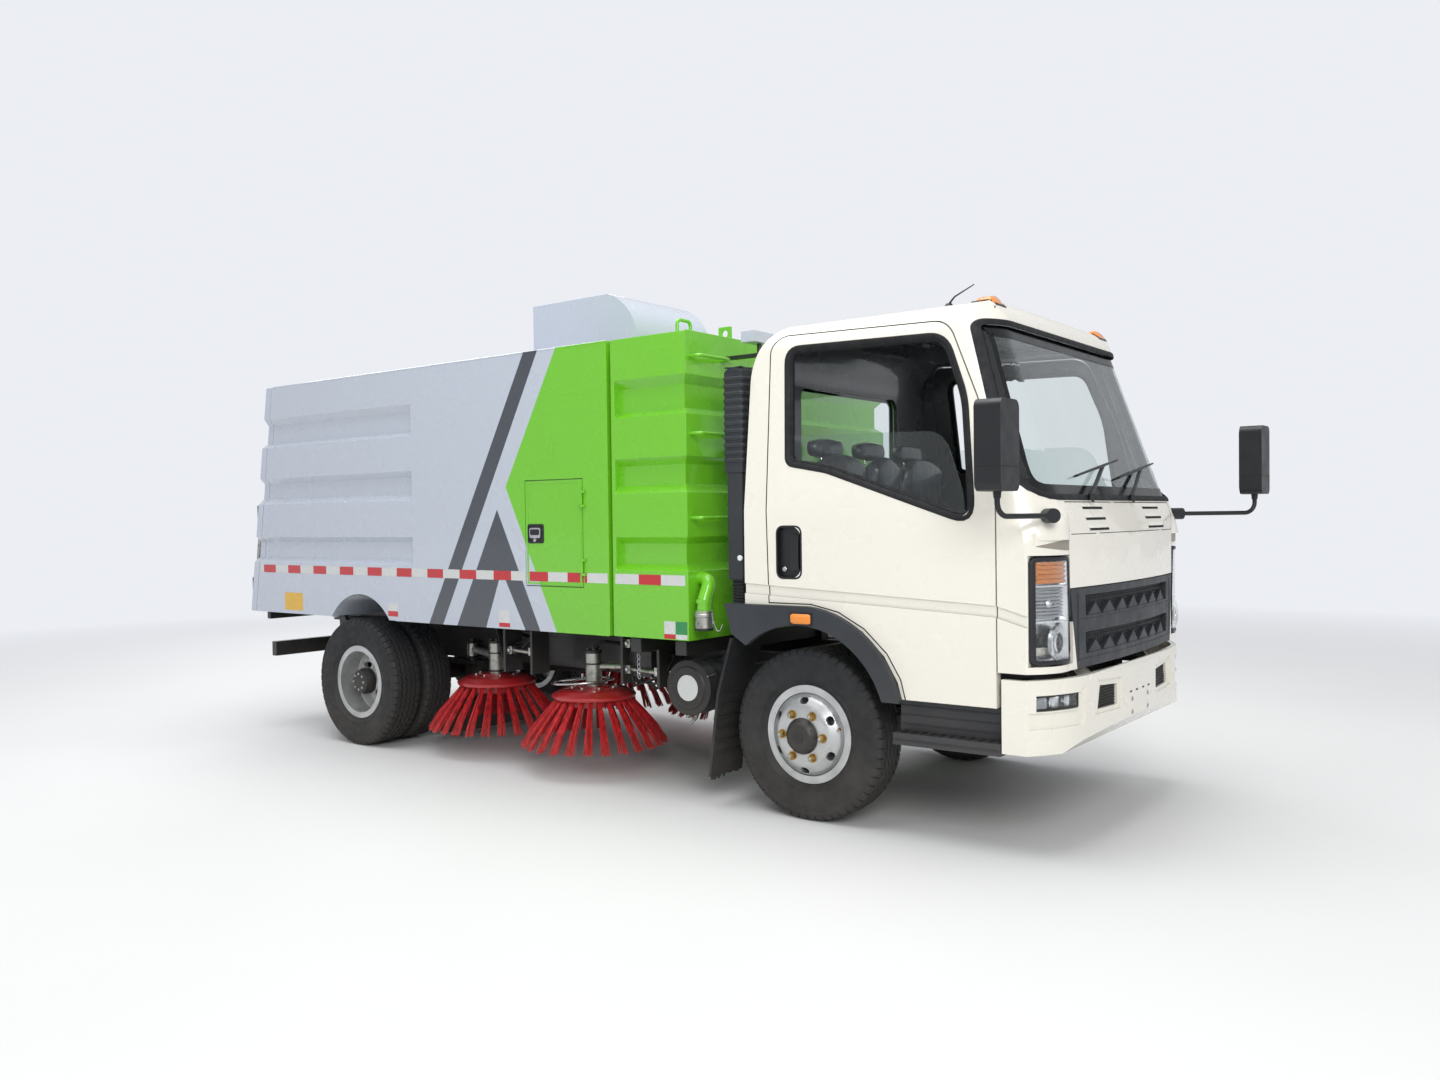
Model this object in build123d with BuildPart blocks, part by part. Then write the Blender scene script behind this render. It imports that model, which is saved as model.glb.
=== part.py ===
"""Street sweeper truck: a cab-over two-axle truck that carries a water tank, a tipping debris hopper,
four side brushes and a suction mouth.

Millimetres. +X forward, +Y to the truck's left, +Z up, origin on the ground at the middle of the
overall box. Stations along X are given from the front axle, forward positive, as on a chassis drawing.
"""
from build123d import *
import os
from math import cos, hypot, pi, sin, sqrt

os.makedirs("parts", exist_ok=True)

# Running gear
wheelbase = 3360
tyre_r = 402
tyre_w = 215
rim_flange_r = 231
rim_seat_r = 206
rim_wall = 10
rim_half_w = 80
rim_offset = 122
stud_circle_r = 111.125
hub_bore_r = 80.5
front_track_half = 802
rear_outer_y = 884
dual_spacing = 245
king_pin_y = 712
king_pin_r = 16
rear_axle = -wheelbase

# Ladder frame
rail_outer_y = 375
rail_flange = 70
rail_gauge = 7
rail_low = 520
rail_high = 700
rail_front = 1050
rail_rear = -4420

# Cab
cab_half_w = 940
cab_wall = 45
cab_rear = -315
cab_roof = 2385
cab_floor = 870
cab_arch_z = 1008
cab_skirt_z = 618
cab_nose = 1228
nose_low = 767
cowl_z = 1488
door_gap = 6
seam = 3
glass = 5
tilt_x = 1190
tilt_z = 668
tilt_y = 404
tilt_pin_r = 14

# Body: tank, hopper and hatch
body_half_w = 980
body_low = 812
body_high = 2346
tank_front = -633
tank_rear = -1135
hopper_front = -1160
hopper_rear_low = -4573
hopper_rear_high = -4330
hopper_wall = 60
hatch_t = 60
tip_hinge_x = -4400
tip_hinge_z = 765
tip_pin_r = 20
arch_x = -3316
arch_z = 594
arch_r = 371
groove_depth = 38
groove_end = -2775
# groove heights: outer top, inner top, inner bottom, outer bottom
grooves = [(2134, 2089, 1966, 1939), (1730, 1691, 1588, 1549), (1328, 1294, 1188, 1155)]

# Brushes: name, station, distance from the centre line, pivot station
brush_table = [("front", -1597, 650, -1190), ("rear", -2490, 580, -2890)]
brush_disc_r = 240
brush_disc_z = 430
brush_tip_r = 430
brush_tip_z = 160
brush_tufts = 20
brush_pivot_y = 430
brush_arm_z = 585
brush_shaft_r = 20

# Mirrors, the right one folded back and the left one swung forward: side, station of the arm's elbow
mirror_table = [(-1, 1075), (1, 1490)]
mirror_boss = (1181, 879, 1412)
mirror_elbow_y = 1170
mirror_head = (110, 180, 358)

# Overall reach, which puts the origin in the middle of the box
mirror_forward = mirror_table[1][1] + mirror_head[0] / 2
front_axle_x = -(mirror_forward + hopper_rear_low) / 2

SIDES = (("right", -1), ("left", 1))


# Shapes placed by station

def block(x0, x1, y0, y1, z0, z1, mode=Mode.ADD):
    """A box between two stations, two widths and two heights."""
    with Locations((front_axle_x + (x0 + x1) / 2, (y0 + y1) / 2, (z0 + z1) / 2)):
        Box(abs(x1 - x0), abs(y1 - y0), abs(z1 - z0), mode=mode)


def side_plane(y):
    """A plane seen from the truck's right side, whose x is the station and y the height."""
    return Plane(origin=(front_axle_x, y, 0), x_dir=(1, 0, 0), z_dir=(0, -1, 0))


def side_prism(points, y0, y1, mode=Mode.ADD):
    """A side outline of (station, height) points, extruded between two widths."""
    with BuildSketch(side_plane(max(y0, y1))) as outline:
        with BuildLine():
            Polyline(*points, close=True)
        make_face()
    extrude(outline.sketch, amount=abs(y1 - y0), mode=mode)


def front_prism(points, x0, x1, mode=Mode.ADD):
    """A front outline of (width, height) points, extruded between two stations."""
    low = front_axle_x + min(x0, x1)
    with BuildSketch(Plane(origin=(low, 0, 0), x_dir=(0, 1, 0), z_dir=(1, 0, 0))) as outline:
        with BuildLine():
            Polyline(*points, close=True)
        make_face()
    extrude(outline.sketch, amount=abs(x1 - x0), mode=mode)


def bar(start, end, r, mode=Mode.ADD):
    """A round bar between two points given by station."""
    a = Vector(start[0] + front_axle_x, start[1], start[2])
    b = Vector(end[0] + front_axle_x, end[1], end[2])
    with BuildSketch(Plane(origin=a, z_dir=b - a)) as section:
        Circle(r)
    extrude(section.sketch, amount=(b - a).length, mode=mode)


def tube(points, r, bend):
    """A round tube along straight runs joined by arcs."""
    shifted = [(x + front_axle_x, y, z) for x, y, z in points]
    with BuildLine() as path:
        FilletPolyline(*shifted, radius=bend)
    with BuildSketch(Plane(origin=path.line @ 0, z_dir=path.line % 0)) as section:
        Circle(r)
    sweep(section.sketch, path=path.line)


def turned(points, x, z, side=1):
    """A profile of (width, radius) points, turned about an axle that runs along Y."""
    centre = (front_axle_x + x, 0, z)
    with BuildSketch(Plane(origin=centre, x_dir=(0, 1, 0), z_dir=(1, 0, 0))) as section:
        with BuildLine():
            Polyline(*[(side * y, r) for y, r in points], close=True)
        make_face()
    revolve(section.sketch, axis=Axis(centre, (0, 1, 0)), revolution_arc=360)


# Ladder frame

with BuildPart() as frame_rails:
    for s in (-1, 1):
        y_out, y_in = s * rail_outer_y, s * (rail_outer_y - rail_flange)
        block(rail_rear, rail_front, y_out, s * (rail_outer_y - rail_gauge), rail_low, rail_high)
        block(rail_rear, rail_front, y_out, y_in, rail_low, rail_low + rail_gauge)
        block(rail_rear, rail_front, y_out, y_in, rail_high - rail_gauge, rail_high)
frame_rails.part.label = "frame_rails"
export_step(frame_rails.part, "parts/frame_rails.step")

eye = (-3500, 768)
base = (-2750, 560)
web_in = rail_outer_y - rail_gauge
cross_stations = [960, 560, -850, -1300, -2100, -2660, -3700, -4360]
with BuildPart() as crossmembers:
    for x in cross_stations:
        block(x - 40, x + 40, -web_in, web_in, rail_high - rail_gauge - 90, rail_high - rail_gauge)
    for s in (-1, 1):
        for y in (s * (tilt_y - 32), s * (tilt_y + 32)):
            side_prism([(rail_front, tilt_z - 60), (rail_front, rail_low), (tilt_x - 10, tilt_z - 42),
                        (tilt_x + 18, tilt_z - 20), (tilt_x + 18, tilt_z + 16), (tilt_x - 20, tilt_z + 16)], y - 7, y + 7)
        block(rail_front, rail_front + 14, s * (rail_outer_y - 80), s * (tilt_y + 39), rail_low, tilt_z - 60)
        bar((tilt_x, s * (tilt_y - 38), tilt_z), (tilt_x, s * (tilt_y + 38), tilt_z), tilt_pin_r)
        mount_points = [(base[0] - 26, base[1] - 20), (base[0] + 10, base[1] - 30), (base[0] + 50, base[1] + 48),
                        (base[0] + 51, rail_high - 12), (base[0] + 38, rail_high - 12), (base[0] - 26, base[1] + 18)]
        side_prism(mount_points, s * 24, s * 36)
    bar((base[0], -36, base[1]), (base[0], 36, base[1]), 14)
    for place, x, y, pivot_x in brush_table:
        for s in (-1, 1):
            bar((pivot_x, s * brush_pivot_y, brush_arm_z - 70), (pivot_x, s * brush_pivot_y, brush_arm_z + 70), 15)
            for z in (brush_arm_z - 58, brush_arm_z + 48):
                block(pivot_x - 34, pivot_x + 34, s * (rail_outer_y + 0.3), s * (brush_pivot_y + 30), z, z + 10)
crossmembers.part.label = "crossmembers"
export_step(crossmembers.part, "parts/crossmembers.step")

sill_top = body_low - 12
with BuildPart() as subframe:
    for s in (-1, 1):
        block(rail_rear, tank_front - 40, s * (rail_outer_y - rail_flange), s * rail_outer_y, rail_high, sill_top)
        side_prism([(tip_hinge_x - 60, rail_high + 10), (tip_hinge_x + 90, rail_high + 10),
                    (tip_hinge_x + 30, tip_hinge_z + 32), (tip_hinge_x - 30, tip_hinge_z + 32)],
                   s * rail_outer_y, s * (rail_outer_y + 20))
        bar((tip_hinge_x, s * (rail_outer_y + 1), tip_hinge_z), (tip_hinge_x, s * (rail_outer_y + 70), tip_hinge_z),
            tip_pin_r)
    sill_in = rail_outer_y - rail_flange - 0.3
    for x in (tank_front - 100, tank_rear + 100, hopper_front - 200, -2200, -2700, -3900):
        block(x - 35, x + 35, -sill_in, sill_in, rail_high + 20, sill_top)
    for x in (tank_front - 100, tank_rear + 100):
        for s in (-1, 1):
            block(x - 35, x + 35, s * (rail_outer_y + 0.3), s * (body_half_w - 60), rail_high + 30, sill_top)
subframe.part.label = "subframe"
export_step(subframe.part, "parts/subframe.step")

# Engine, gearbox and drive line

shaft_front = (-760, 560)
shaft_rear = (rear_axle + 210, 430)
with BuildPart() as engine_block:
    block(-150, 450, -260, 260, 470, 950)
    for s in (-1, 1):
        block(180, 260, s * 250, s * (rail_outer_y - rail_flange - 0.3), 580, 650)
    side_prism([(-150, 480), (-150, 760), (-420, 720), (shaft_front[0] + 4, 620), (shaft_front[0] + 4, 500), (-420, 470)],
               -150, 150)
engine_block.part.label = "engine_block"
export_step(engine_block.part, "parts/engine_block.step")

with BuildPart() as rear_axle_part:
    hub_end = rear_outer_y - rim_offset
    bar((rear_axle, -(hub_end - 62), tyre_r), (rear_axle, hub_end - 62, tyre_r), 62)
    bar((rear_axle, -(hub_end - 5), tyre_r), (rear_axle, hub_end - 5, tyre_r), 40)
    with Locations((front_axle_x + rear_axle, 0, tyre_r)):
        Sphere(165)
    bar((rear_axle, 0, tyre_r + 10), (shaft_rear[0] + 2, 0, shaft_rear[1]), 75)
rear_axle_part.part.label = "rear_axle"
export_step(rear_axle_part.part, "parts/rear_axle.step")

with BuildPart() as driveshaft:
    bar((shaft_front[0] + 1.3, 0, shaft_front[1]), (shaft_rear[0] + 3.6, 0, shaft_rear[1]), 42)
driveshaft.part.label = "driveshaft"
export_step(driveshaft.part, "parts/driveshaft.step")

# Springs: station of the axle, half length, seat height, width from the centre line
spring_y = rail_outer_y - 35
with BuildPart() as leaf_springs:
    for x, half, seat, camber in ((0, 600, tyre_r + 28, 34), (rear_axle, 640, tyre_r + 62.3, 10)):
        for s in (-1, 1):
            for n in range(4):
                reach = half * (1 - 0.2 * n)
                low = seat + 9 * (3 - n)
                rise = camber * (reach / half) ** 2
                side_prism([(x - reach, low + rise), (x, low), (x + reach, low + rise), (x + reach, low + rise + 9),
                            (x, low + 9), (x - reach, low + rise + 9)], s * spring_y - 32, s * spring_y + 32)
            for end in (-1, 1):
                block(x + end * (half - 30), x + end * (half + 12), s * spring_y - 32, s * spring_y + 32,
                      seat + camber + 33, rail_low - 0.3)
leaf_springs.part.label = "leaf_springs"
export_step(leaf_springs.part, "parts/leaf_springs.step")

with BuildPart() as front_axle:
    drop = 70
    beam_low = tyre_r - drop - 40
    front_prism([(-king_pin_y + 12, tyre_r - 34), (-king_pin_y + 12, tyre_r + 34), (-620, tyre_r + 34), (-500, tyre_r + 27.7),
                 (500, tyre_r + 27.7), (620, tyre_r + 34), (king_pin_y - 12, tyre_r + 34), (king_pin_y - 12, tyre_r - 34),
                 (620, tyre_r - 40), (430, beam_low), (-430, beam_low), (-620, tyre_r - 40)], -38, 38)
    for s in (-1, 1):
        bar((0, s * king_pin_y, tyre_r - 34), (0, s * king_pin_y, tyre_r + 34), 25)
        bar((0, s * king_pin_y, tyre_r - 80), (0, s * king_pin_y, tyre_r + 80), king_pin_r)
front_axle.part.label = "front_axle"
export_step(front_axle.part, "parts/front_axle.step")

# Steering knuckles: a fork round the axle eye, and the spindle

for name, s in SIDES:
    with BuildPart() as knuckle:
        for end in (-1, 1):
            low, high = sorted((tyre_r + end * 40, tyre_r + end * 78))
            block(-34, 34, s * (king_pin_y - 34), s * (king_pin_y + 62), low, high)
        block(-40, 40, s * (king_pin_y + 31), s * (king_pin_y + 62), tyre_r - 78, tyre_r + 78)
        bar((0, s * (king_pin_y + 61), tyre_r), (0, s * (front_track_half + rim_offset - 25), tyre_r), 34)
        for end in (-1, 1):
            bar((0, s * king_pin_y, tyre_r + end * 39), (0, s * king_pin_y, tyre_r + end * 79), king_pin_r + 0.05,
                mode=Mode.SUBTRACT)
        block(-170, -33, s * (king_pin_y - 30), s * (king_pin_y + 4), tyre_r - 78, tyre_r - 56)
    knuckle.part.label = f"knuckle_{name}"
    export_step(knuckle.part, f"parts/knuckle_{name}.step")

# Tyres and rims: axle, width of the wheel's centre, direction of the disc

bead_half = rim_half_w - 10.3
tyre_profile = [(-bead_half, rim_seat_r + 0.3), (bead_half, rim_seat_r + 0.3), (bead_half, rim_flange_r + 1),
                (84, 240), (tyre_w / 2, 318), (tyre_w / 2 - 4, 366), (94, tyre_r - 8), (80, tyre_r),
                (-80, tyre_r), (-94, tyre_r - 8), (4 - tyre_w / 2, 366), (-tyre_w / 2, 318), (-84, 240),
                (-bead_half, rim_flange_r + 1)]
barrel_profile = [(-rim_half_w, rim_flange_r), (-rim_half_w + 10, rim_flange_r), (-rim_half_w + 10, rim_seat_r),
                  (rim_half_w - 10, rim_seat_r), (rim_half_w - 10, rim_flange_r), (rim_half_w, rim_flange_r),
                  (rim_half_w, rim_seat_r - rim_wall), (-rim_half_w, rim_seat_r - rim_wall)]
disc_profile = [(50, rim_seat_r - 5), (60, rim_seat_r - 5), (100, 180), (128, 142), (132, 122), (132, hub_bore_r),
                (rim_offset, hub_bore_r), (rim_offset, 118), (118, 136), (92, 168), (50, 190)]


def wheel_rim(x, y, side, disc):
    """A rim centred at width y; disc is 1 where its disc bulges outward and -1 where inward."""
    turned([(y + u, r) for u, r in barrel_profile], x, tyre_r, side)
    turned([(y + disc * u, r) for u, r in disc_profile], x, tyre_r, side)
    face = Plane(origin=(front_axle_x + x, side * y, tyre_r), x_dir=(1, 0, 0), z_dir=(0, side * disc, 0))
    with BuildSketch(face) as holes:
        with PolarLocations(163, 6, start_angle=30):
            SlotOverall(44, 30, rotation=90)
        with PolarLocations(stud_circle_r, 6):
            Circle(11)
    extrude(holes.sketch, amount=140, mode=Mode.SUBTRACT)


for name, s in SIDES:
    with BuildPart() as tyre_front:
        turned([(front_track_half + u, r) for u, r in tyre_profile], 0, tyre_r, s)
    tyre_front.part.label = f"tyre_front_{name}"
    export_step(tyre_front.part, f"parts/tyre_front_{name}.step")

    hub_face = front_track_half + rim_offset
    with BuildPart() as rim_front:
        wheel_rim(0, front_track_half, s, 1)
        turned([(king_pin_y + 66, 34.05), (hub_face - 24.5, 34.05), (hub_face - 24.5, 0), (hub_face + 42, 0), (hub_face + 42, 52),
                (hub_face + 34, 62), (hub_face + 12, 74), (hub_face + 12, 84), (hub_face + 1, 84), (hub_face + 1, 124),
                (hub_face - 14, 124), (hub_face - 14, 90), (king_pin_y + 90, 90), (king_pin_y + 90, 170),
                (king_pin_y + 66, 170)], 0, tyre_r, s)
    rim_front.part.label = f"rim_front_{name}"
    export_step(rim_front.part, f"parts/rim_front_{name}.step")

    rear_inner_y = rear_outer_y - dual_spacing
    with BuildPart() as tyre_rear:
        for y in (rear_outer_y, rear_inner_y):
            turned([(y + u, r) for u, r in tyre_profile], rear_axle, tyre_r, s)
    tyre_rear.part.label = f"tyre_rear_{name}"
    export_step(tyre_rear.part, f"parts/tyre_rear_{name}.step")

    with BuildPart() as rim_rear:
        wheel_rim(rear_axle, rear_outer_y, s, -1)
        wheel_rim(rear_axle, rear_inner_y, s, 1)
        turned([(hub_end - 59, 40.05), (hub_end - 59, 170), (hub_end - 40, 170), (hub_end - 40, 124), (hub_end - 9, 124),
                (hub_end - 9, 81), (hub_end + 30, 81), (hub_end + 60, 70), (hub_end + 66, 0), (hub_end - 4.5, 0),
                (hub_end - 4.5, 40.05)], rear_axle, tyre_r, s)
    rim_rear.part.label = f"rim_rear_{name}"
    export_step(rim_rear.part, f"parts/rim_rear_{name}.step")

# Cab: one hollow form that the panels, doors, glass and lamps are parted from

pillar_z = 1450
roof_half = 860
cowl_x = cab_nose - 63
header_x = cowl_x - 260
header_z = 2270
screen_corner_r = 224
screen_low = 1250
corner_x = cab_nose - 138


def screen_section(z, inset):
    """The cab's plan at a height of the windscreen, its front corners rounded."""
    rake = (cowl_x - header_x) / (header_z - cowl_z)
    half_w = cab_half_w - (cab_half_w - roof_half) * (z - pillar_z) / 740 - 1.006 * inset
    front = cowl_x - rake * (z - cowl_z) - 1.054 * inset
    r = screen_corner_r - inset
    turn = r * (1 - sqrt(0.5))
    with BuildSketch(Plane(origin=(front_axle_x, 0, z))) as section:
        with BuildLine():
            Polyline((front - r, half_w), (cab_rear - 50, half_w), (cab_rear - 50, -half_w), (front - r, -half_w))
            ThreePointArc((front - r, -half_w), (front - turn, turn - half_w), (front, r - half_w))
            Line((front, r - half_w), (front, half_w - r))
            ThreePointArc((front, half_w - r), (front - turn, half_w - turn), (front - r, half_w))
        make_face()
    return section.sketch


def cab_form(inset):
    """The cab's outer form, or with an inset the same form that much smaller all round."""
    with BuildPart(mode=Mode.PRIVATE) as screen_limit:
        loft([screen_section(screen_low, inset), screen_section(2500, inset)], ruled=True)
        block(cab_rear - 40, cab_nose + 40, -cab_half_w - 20, cab_half_w + 20, 500, screen_low)
    with BuildPart() as form:
        with BuildSketch(side_plane(cab_half_w)):
            with BuildLine():
                Polyline((cab_rear, 2060), (cab_rear, 560), (cab_nose, 560), (cab_nose + 4, 1340))
                ThreePointArc((cab_nose + 4, 1340), (cab_nose - 12, 1440), (cowl_x, cowl_z))
                Polyline((cowl_x, cowl_z), (header_x, header_z))
                ThreePointArc((header_x, header_z), (header_x - 60, 2348), (header_x - 185, 2378))
                Polyline((header_x - 185, 2378), (0, 2378))
                ThreePointArc((0, 2378), (-220, 2290), (cab_rear, 2060))
            make_face()
            if inset:
                offset(amount=-inset, kind=Kind.INTERSECTION, mode=Mode.REPLACE)
        extrude(amount=2 * cab_half_w)
        with BuildSketch(Plane(origin=(front_axle_x + cab_rear - 10, 0, 0), x_dir=(0, 1, 0), z_dir=(1, 0, 0))):
            with BuildLine():
                Polyline((-roof_half, 2190), (-cab_half_w, pillar_z), (-cab_half_w, 540), (cab_half_w, 540),
                         (cab_half_w, pillar_z), (roof_half, 2190))
                ThreePointArc((roof_half, 2190), (820, 2290), (700, 2345))
                ThreePointArc((700, 2345), (0, cab_roof), (-700, 2345))
                ThreePointArc((-700, 2345), (-820, 2290), (-roof_half, 2190))
            make_face()
            if inset:
                offset(amount=-inset, kind=Kind.INTERSECTION, mode=Mode.REPLACE)
        extrude(amount=cab_nose - cab_rear + 40, mode=Mode.INTERSECT)
        with BuildSketch(Plane(origin=(front_axle_x, 0, 500))):
            with BuildLine():
                Polyline((corner_x, -cab_half_w), (cab_rear, -cab_half_w), (cab_rear, cab_half_w), (corner_x, cab_half_w))
                ThreePointArc((corner_x, cab_half_w), (cab_nose - 63, 860), (cab_nose - 36, 720))
                ThreePointArc((cab_nose - 36, 720), (cab_nose + 4, 0), (cab_nose - 36, -720))
                ThreePointArc((cab_nose - 36, -720), (cab_nose - 63, -860), (corner_x, -cab_half_w))
            make_face()
            if inset:
                offset(amount=-inset, kind=Kind.INTERSECTION, mode=Mode.REPLACE)
        extrude(amount=2000, mode=Mode.INTERSECT)
        add(screen_limit.part, mode=Mode.INTERSECT)
    return form.part


cab_outer = cab_form(0)
cab_inner = cab_form(cab_wall)

# Outlines of (station, height) for the side and (width, height) for the front
arch_line = [(525, cab_skirt_z), (505, 690), (440, 800), (330, 905), (200, 975), (60, cab_arch_z)]
# with a third number where the corner is rounded
door_outline = [(-172, 1020), (-205, 2280, 85), (714, 2256, 110), (873, 1885, 700), (962, 1520, 800), (964, cab_skirt_z),
                (545, cab_skirt_z), (522, 705), (455, 815), (340, 920), (205, 990), (60, 1020)]
window_outline = [(-82, 1668, 45), (-116, 2216, 70), (708, 2198, 125), (814, 1921, 500), (872, 1377, 72), (137, 1628, 400)]
screen_outline = [(-914, 1486, 135), (-815, 2248, 45), (815, 2248, 45), (914, 1486, 135)]
rear_window = [(-500, 1580, 60), (-500, 2080, 60), (500, 2080, 60), (500, 1580, 60)]
handle_pocket = [(-125, 1374, 30), (6, 1374, 50), (6, 1137, 50), (-125, 1137, 30)]
panel_half = 712
panel_outline = [(-panel_half, 1108), (-panel_half, 1330), (-panel_half, 1468), (panel_half, 1468), (panel_half, 1108)]
grille_outline = [(-650, nose_low), (-panel_half, 1105), (panel_half, 1105), (650, nose_low)]
lamp_side = cab_nose - 129
panel_rear = cab_nose - 128
lamp_low = 796
lamp_high = 1250


def grown(points, amount):
    """The outline moved out by an amount, or in where it is negative; a third number rounds a corner."""
    with BuildSketch() as flat:
        with BuildLine():
            Polyline(*[row[:2] for row in points], close=True)
        make_face()
        for x, z, r in [row for row in points if len(row) == 3]:
            fillet(flat.vertices().sort_by_distance((x, z, 0))[0], r)
        if amount:
            offset(amount=amount, kind=Kind.INTERSECTION, mode=Mode.REPLACE)
    return flat.face()


def cut_side(face, y0, y1, mode):
    """A flat outline face of (station, height), extruded between two widths."""
    with BuildSketch(side_plane(max(y0, y1))) as outline:
        add(face)
    extrude(outline.sketch, amount=abs(y1 - y0), mode=mode)


def cut_front(face, x0, x1, mode):
    """A flat outline face of (width, height), extruded between two stations."""
    low = front_axle_x + min(x0, x1)
    with BuildSketch(Plane(origin=(low, 0, 0), x_dir=(0, 1, 0), z_dir=(1, 0, 0))) as outline:
        add(face)
    extrude(outline.sketch, amount=abs(x1 - x0), mode=mode)


wide = cab_half_w + 20
ahead = cab_nose + 60
screen_rear = [(cowl_x - 132, 1440), (ahead, 1440), (ahead, 2300), (cowl_x - 393, 2300)]
crease_z = 1107
crease_h = 48
crease_depth = 9
with BuildPart() as cab_skin:
    add(cab_outer)
    add(cab_inner, mode=Mode.SUBTRACT)
    block(cab_rear + cab_wall, cab_nose + 4 - cab_wall, -(cab_half_w - cab_wall), cab_half_w - cab_wall, 500, 700,
          mode=Mode.SUBTRACT)
    side_prism([(cab_rear - 5, cab_arch_z), *reversed(arch_line), (525, 500), (cab_rear - 5, 500)], -wide, wide,
               mode=Mode.SUBTRACT)
    block(400, 975, -wide, wide, 500, cab_skirt_z, mode=Mode.SUBTRACT)
    block(966, ahead, -wide, wide, 500, nose_low, mode=Mode.SUBTRACT)
    for s in (-1, 1):
        side_prism([(cab_rear - 10, crease_z), (964, crease_z - 64), (lamp_side, crease_z - 104),
                    (lamp_side, crease_z - 104 - crease_h), (964, crease_z - 64 - crease_h), (cab_rear - 10, crease_z - crease_h)],
                   s * (cab_half_w - crease_depth), s * wide, mode=Mode.SUBTRACT)
        cut_side(grown(handle_pocket, 0), s * (cab_half_w - 24), s * wide, Mode.SUBTRACT)

with BuildPart() as cab_floor_pan:
    side_prism([(cab_rear + 20, cab_arch_z), (cab_rear + 20, cab_arch_z + 40), (530, cab_arch_z + 40),
                (575, cab_floor), (cab_nose - 53, cab_floor), (cab_nose - 53, cab_floor - 40), (540, cab_floor - 40),
                (490, cab_arch_z)], -(cab_half_w - 20), cab_half_w - 20)
    for s in (-1, 1):
        side_prism([(tilt_x - 34, tilt_z - 4), (tilt_x - 14, tilt_z - 22), (tilt_x + 14, tilt_z - 18), (tilt_x + 20, tilt_z + 8),
                    (tilt_x - 4, tilt_z + 26), (1040, cab_floor - 20), (980, cab_floor - 20)], s * (tilt_y - 19), s * (tilt_y + 19))
        bar((tilt_x, s * (tilt_y - 20), tilt_z), (tilt_x, s * (tilt_y + 20), tilt_z), tilt_pin_r + 0.05,
            mode=Mode.SUBTRACT)
    block(1120.3, cab_nose, -(cab_half_w - 20), cab_half_w - 20, 1290, 1340)
    add(cab_form(cab_wall + 0.3), mode=Mode.INTERSECT)
    for s in (-1, 1):
        block(-190, 978, s * (cab_half_w - cab_wall - 7), s * wide, 500, 2000, mode=Mode.SUBTRACT)
    for s in (-1, 1):
        block(980, 1060, s * 850, s * (cab_half_w - 20), cab_floor - 40, cab_floor)
        block(1040, 1122, s * 840, s * (cab_half_w - 20), 1290, 1340)
        block(cab_rear + 20, -200, s * 850, s * (cab_half_w - 20), cab_arch_z, cab_arch_z + 40)
    block(cab_rear + 20, cab_rear + 80, -800, 800, cab_arch_z, cab_arch_z + 40)

with BuildPart() as cab_shell:
    add(cab_skin.part)
    for s in (-1, 1):
        cut_side(grown(door_outline, door_gap), s * 700, s * wide, Mode.SUBTRACT)
    with BuildPart(mode=Mode.PRIVATE) as screen_hole:
        side_prism(screen_rear, -wide, wide)
        cut_front(grown(screen_outline, 0.3), 0, ahead, Mode.INTERSECT)
    add(screen_hole.part, mode=Mode.SUBTRACT)
    cut_front(grown(panel_outline, seam), panel_rear, ahead, Mode.SUBTRACT)
    cut_front(grown(grille_outline, seam), panel_rear, ahead, Mode.SUBTRACT)
    cut_front(grown(rear_window, 0.3), cab_rear - 5, cab_rear + 100, Mode.SUBTRACT)
    for s in (-1, 1):
        block(lamp_side, ahead, s * (panel_half - 22), s * wide, lamp_low, lamp_high, mode=Mode.SUBTRACT)
    add(cab_floor_pan.part)
cab_shell.part.label = "cab_shell"
export_step(cab_shell.part, "parts/cab_shell.step")

with BuildPart() as front_panel:
    add(cab_skin.part)
    cut_front(grown(panel_outline, 0), panel_rear, ahead, Mode.INTERSECT)
front_panel.part.label = "front_panel"
export_step(front_panel.part, "parts/front_panel.step")

# Grille: two sunk bays, each with a row of teeth
bays = [(826, 915), (986, 1072)]
with BuildPart() as bay_teeth:
    add(cab_form(6))
    with BuildPart(mode=Mode.PRIVATE) as tooth_rows:
        for low, high in bays:
            for n in range(7):
                y = (n - 3) * 155
                front_prism([(y - 64, low), (y + 64, low), (y + 64, low + 6), (y + 6, low + 52), (y - 64, low + 6)],
                            panel_rear, ahead)
    add(tooth_rows.part, mode=Mode.INTERSECT)
    add(cab_form(30), mode=Mode.SUBTRACT)
with BuildPart() as grille:
    add(cab_skin.part)
    cut_front(grown(grille_outline, 0), panel_rear, ahead, Mode.INTERSECT)
    with BuildPart(mode=Mode.PRIVATE) as sunk:
        for low, high in bays:
            front_prism([(-565, low), (565, low), (572, high), (-572, high)], panel_rear, ahead)
        add(cab_form(30), mode=Mode.SUBTRACT)
    add(sunk.part, mode=Mode.SUBTRACT)
    add(bay_teeth.part)
grille.part.label = "grille"
export_step(grille.part, "parts/grille.step")

with BuildPart() as headlamps:
    add(cab_skin.part)
    front_prism([(-wide, lamp_low + seam), (-wide, lamp_high - seam), (-panel_half + 25, lamp_high - seam),
                 (-panel_half + 25, lamp_low + seam)], lamp_side + seam, ahead, mode=Mode.INTERSECT)
    block(cab_rear, ahead, -panel_half - seam, 0, lamp_low - 5, lamp_high + 5, mode=Mode.SUBTRACT)
    mirror(about=Plane.XZ)
headlamps.part.label = "headlamps"
export_step(headlamps.part, "parts/headlamps.step")

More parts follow.
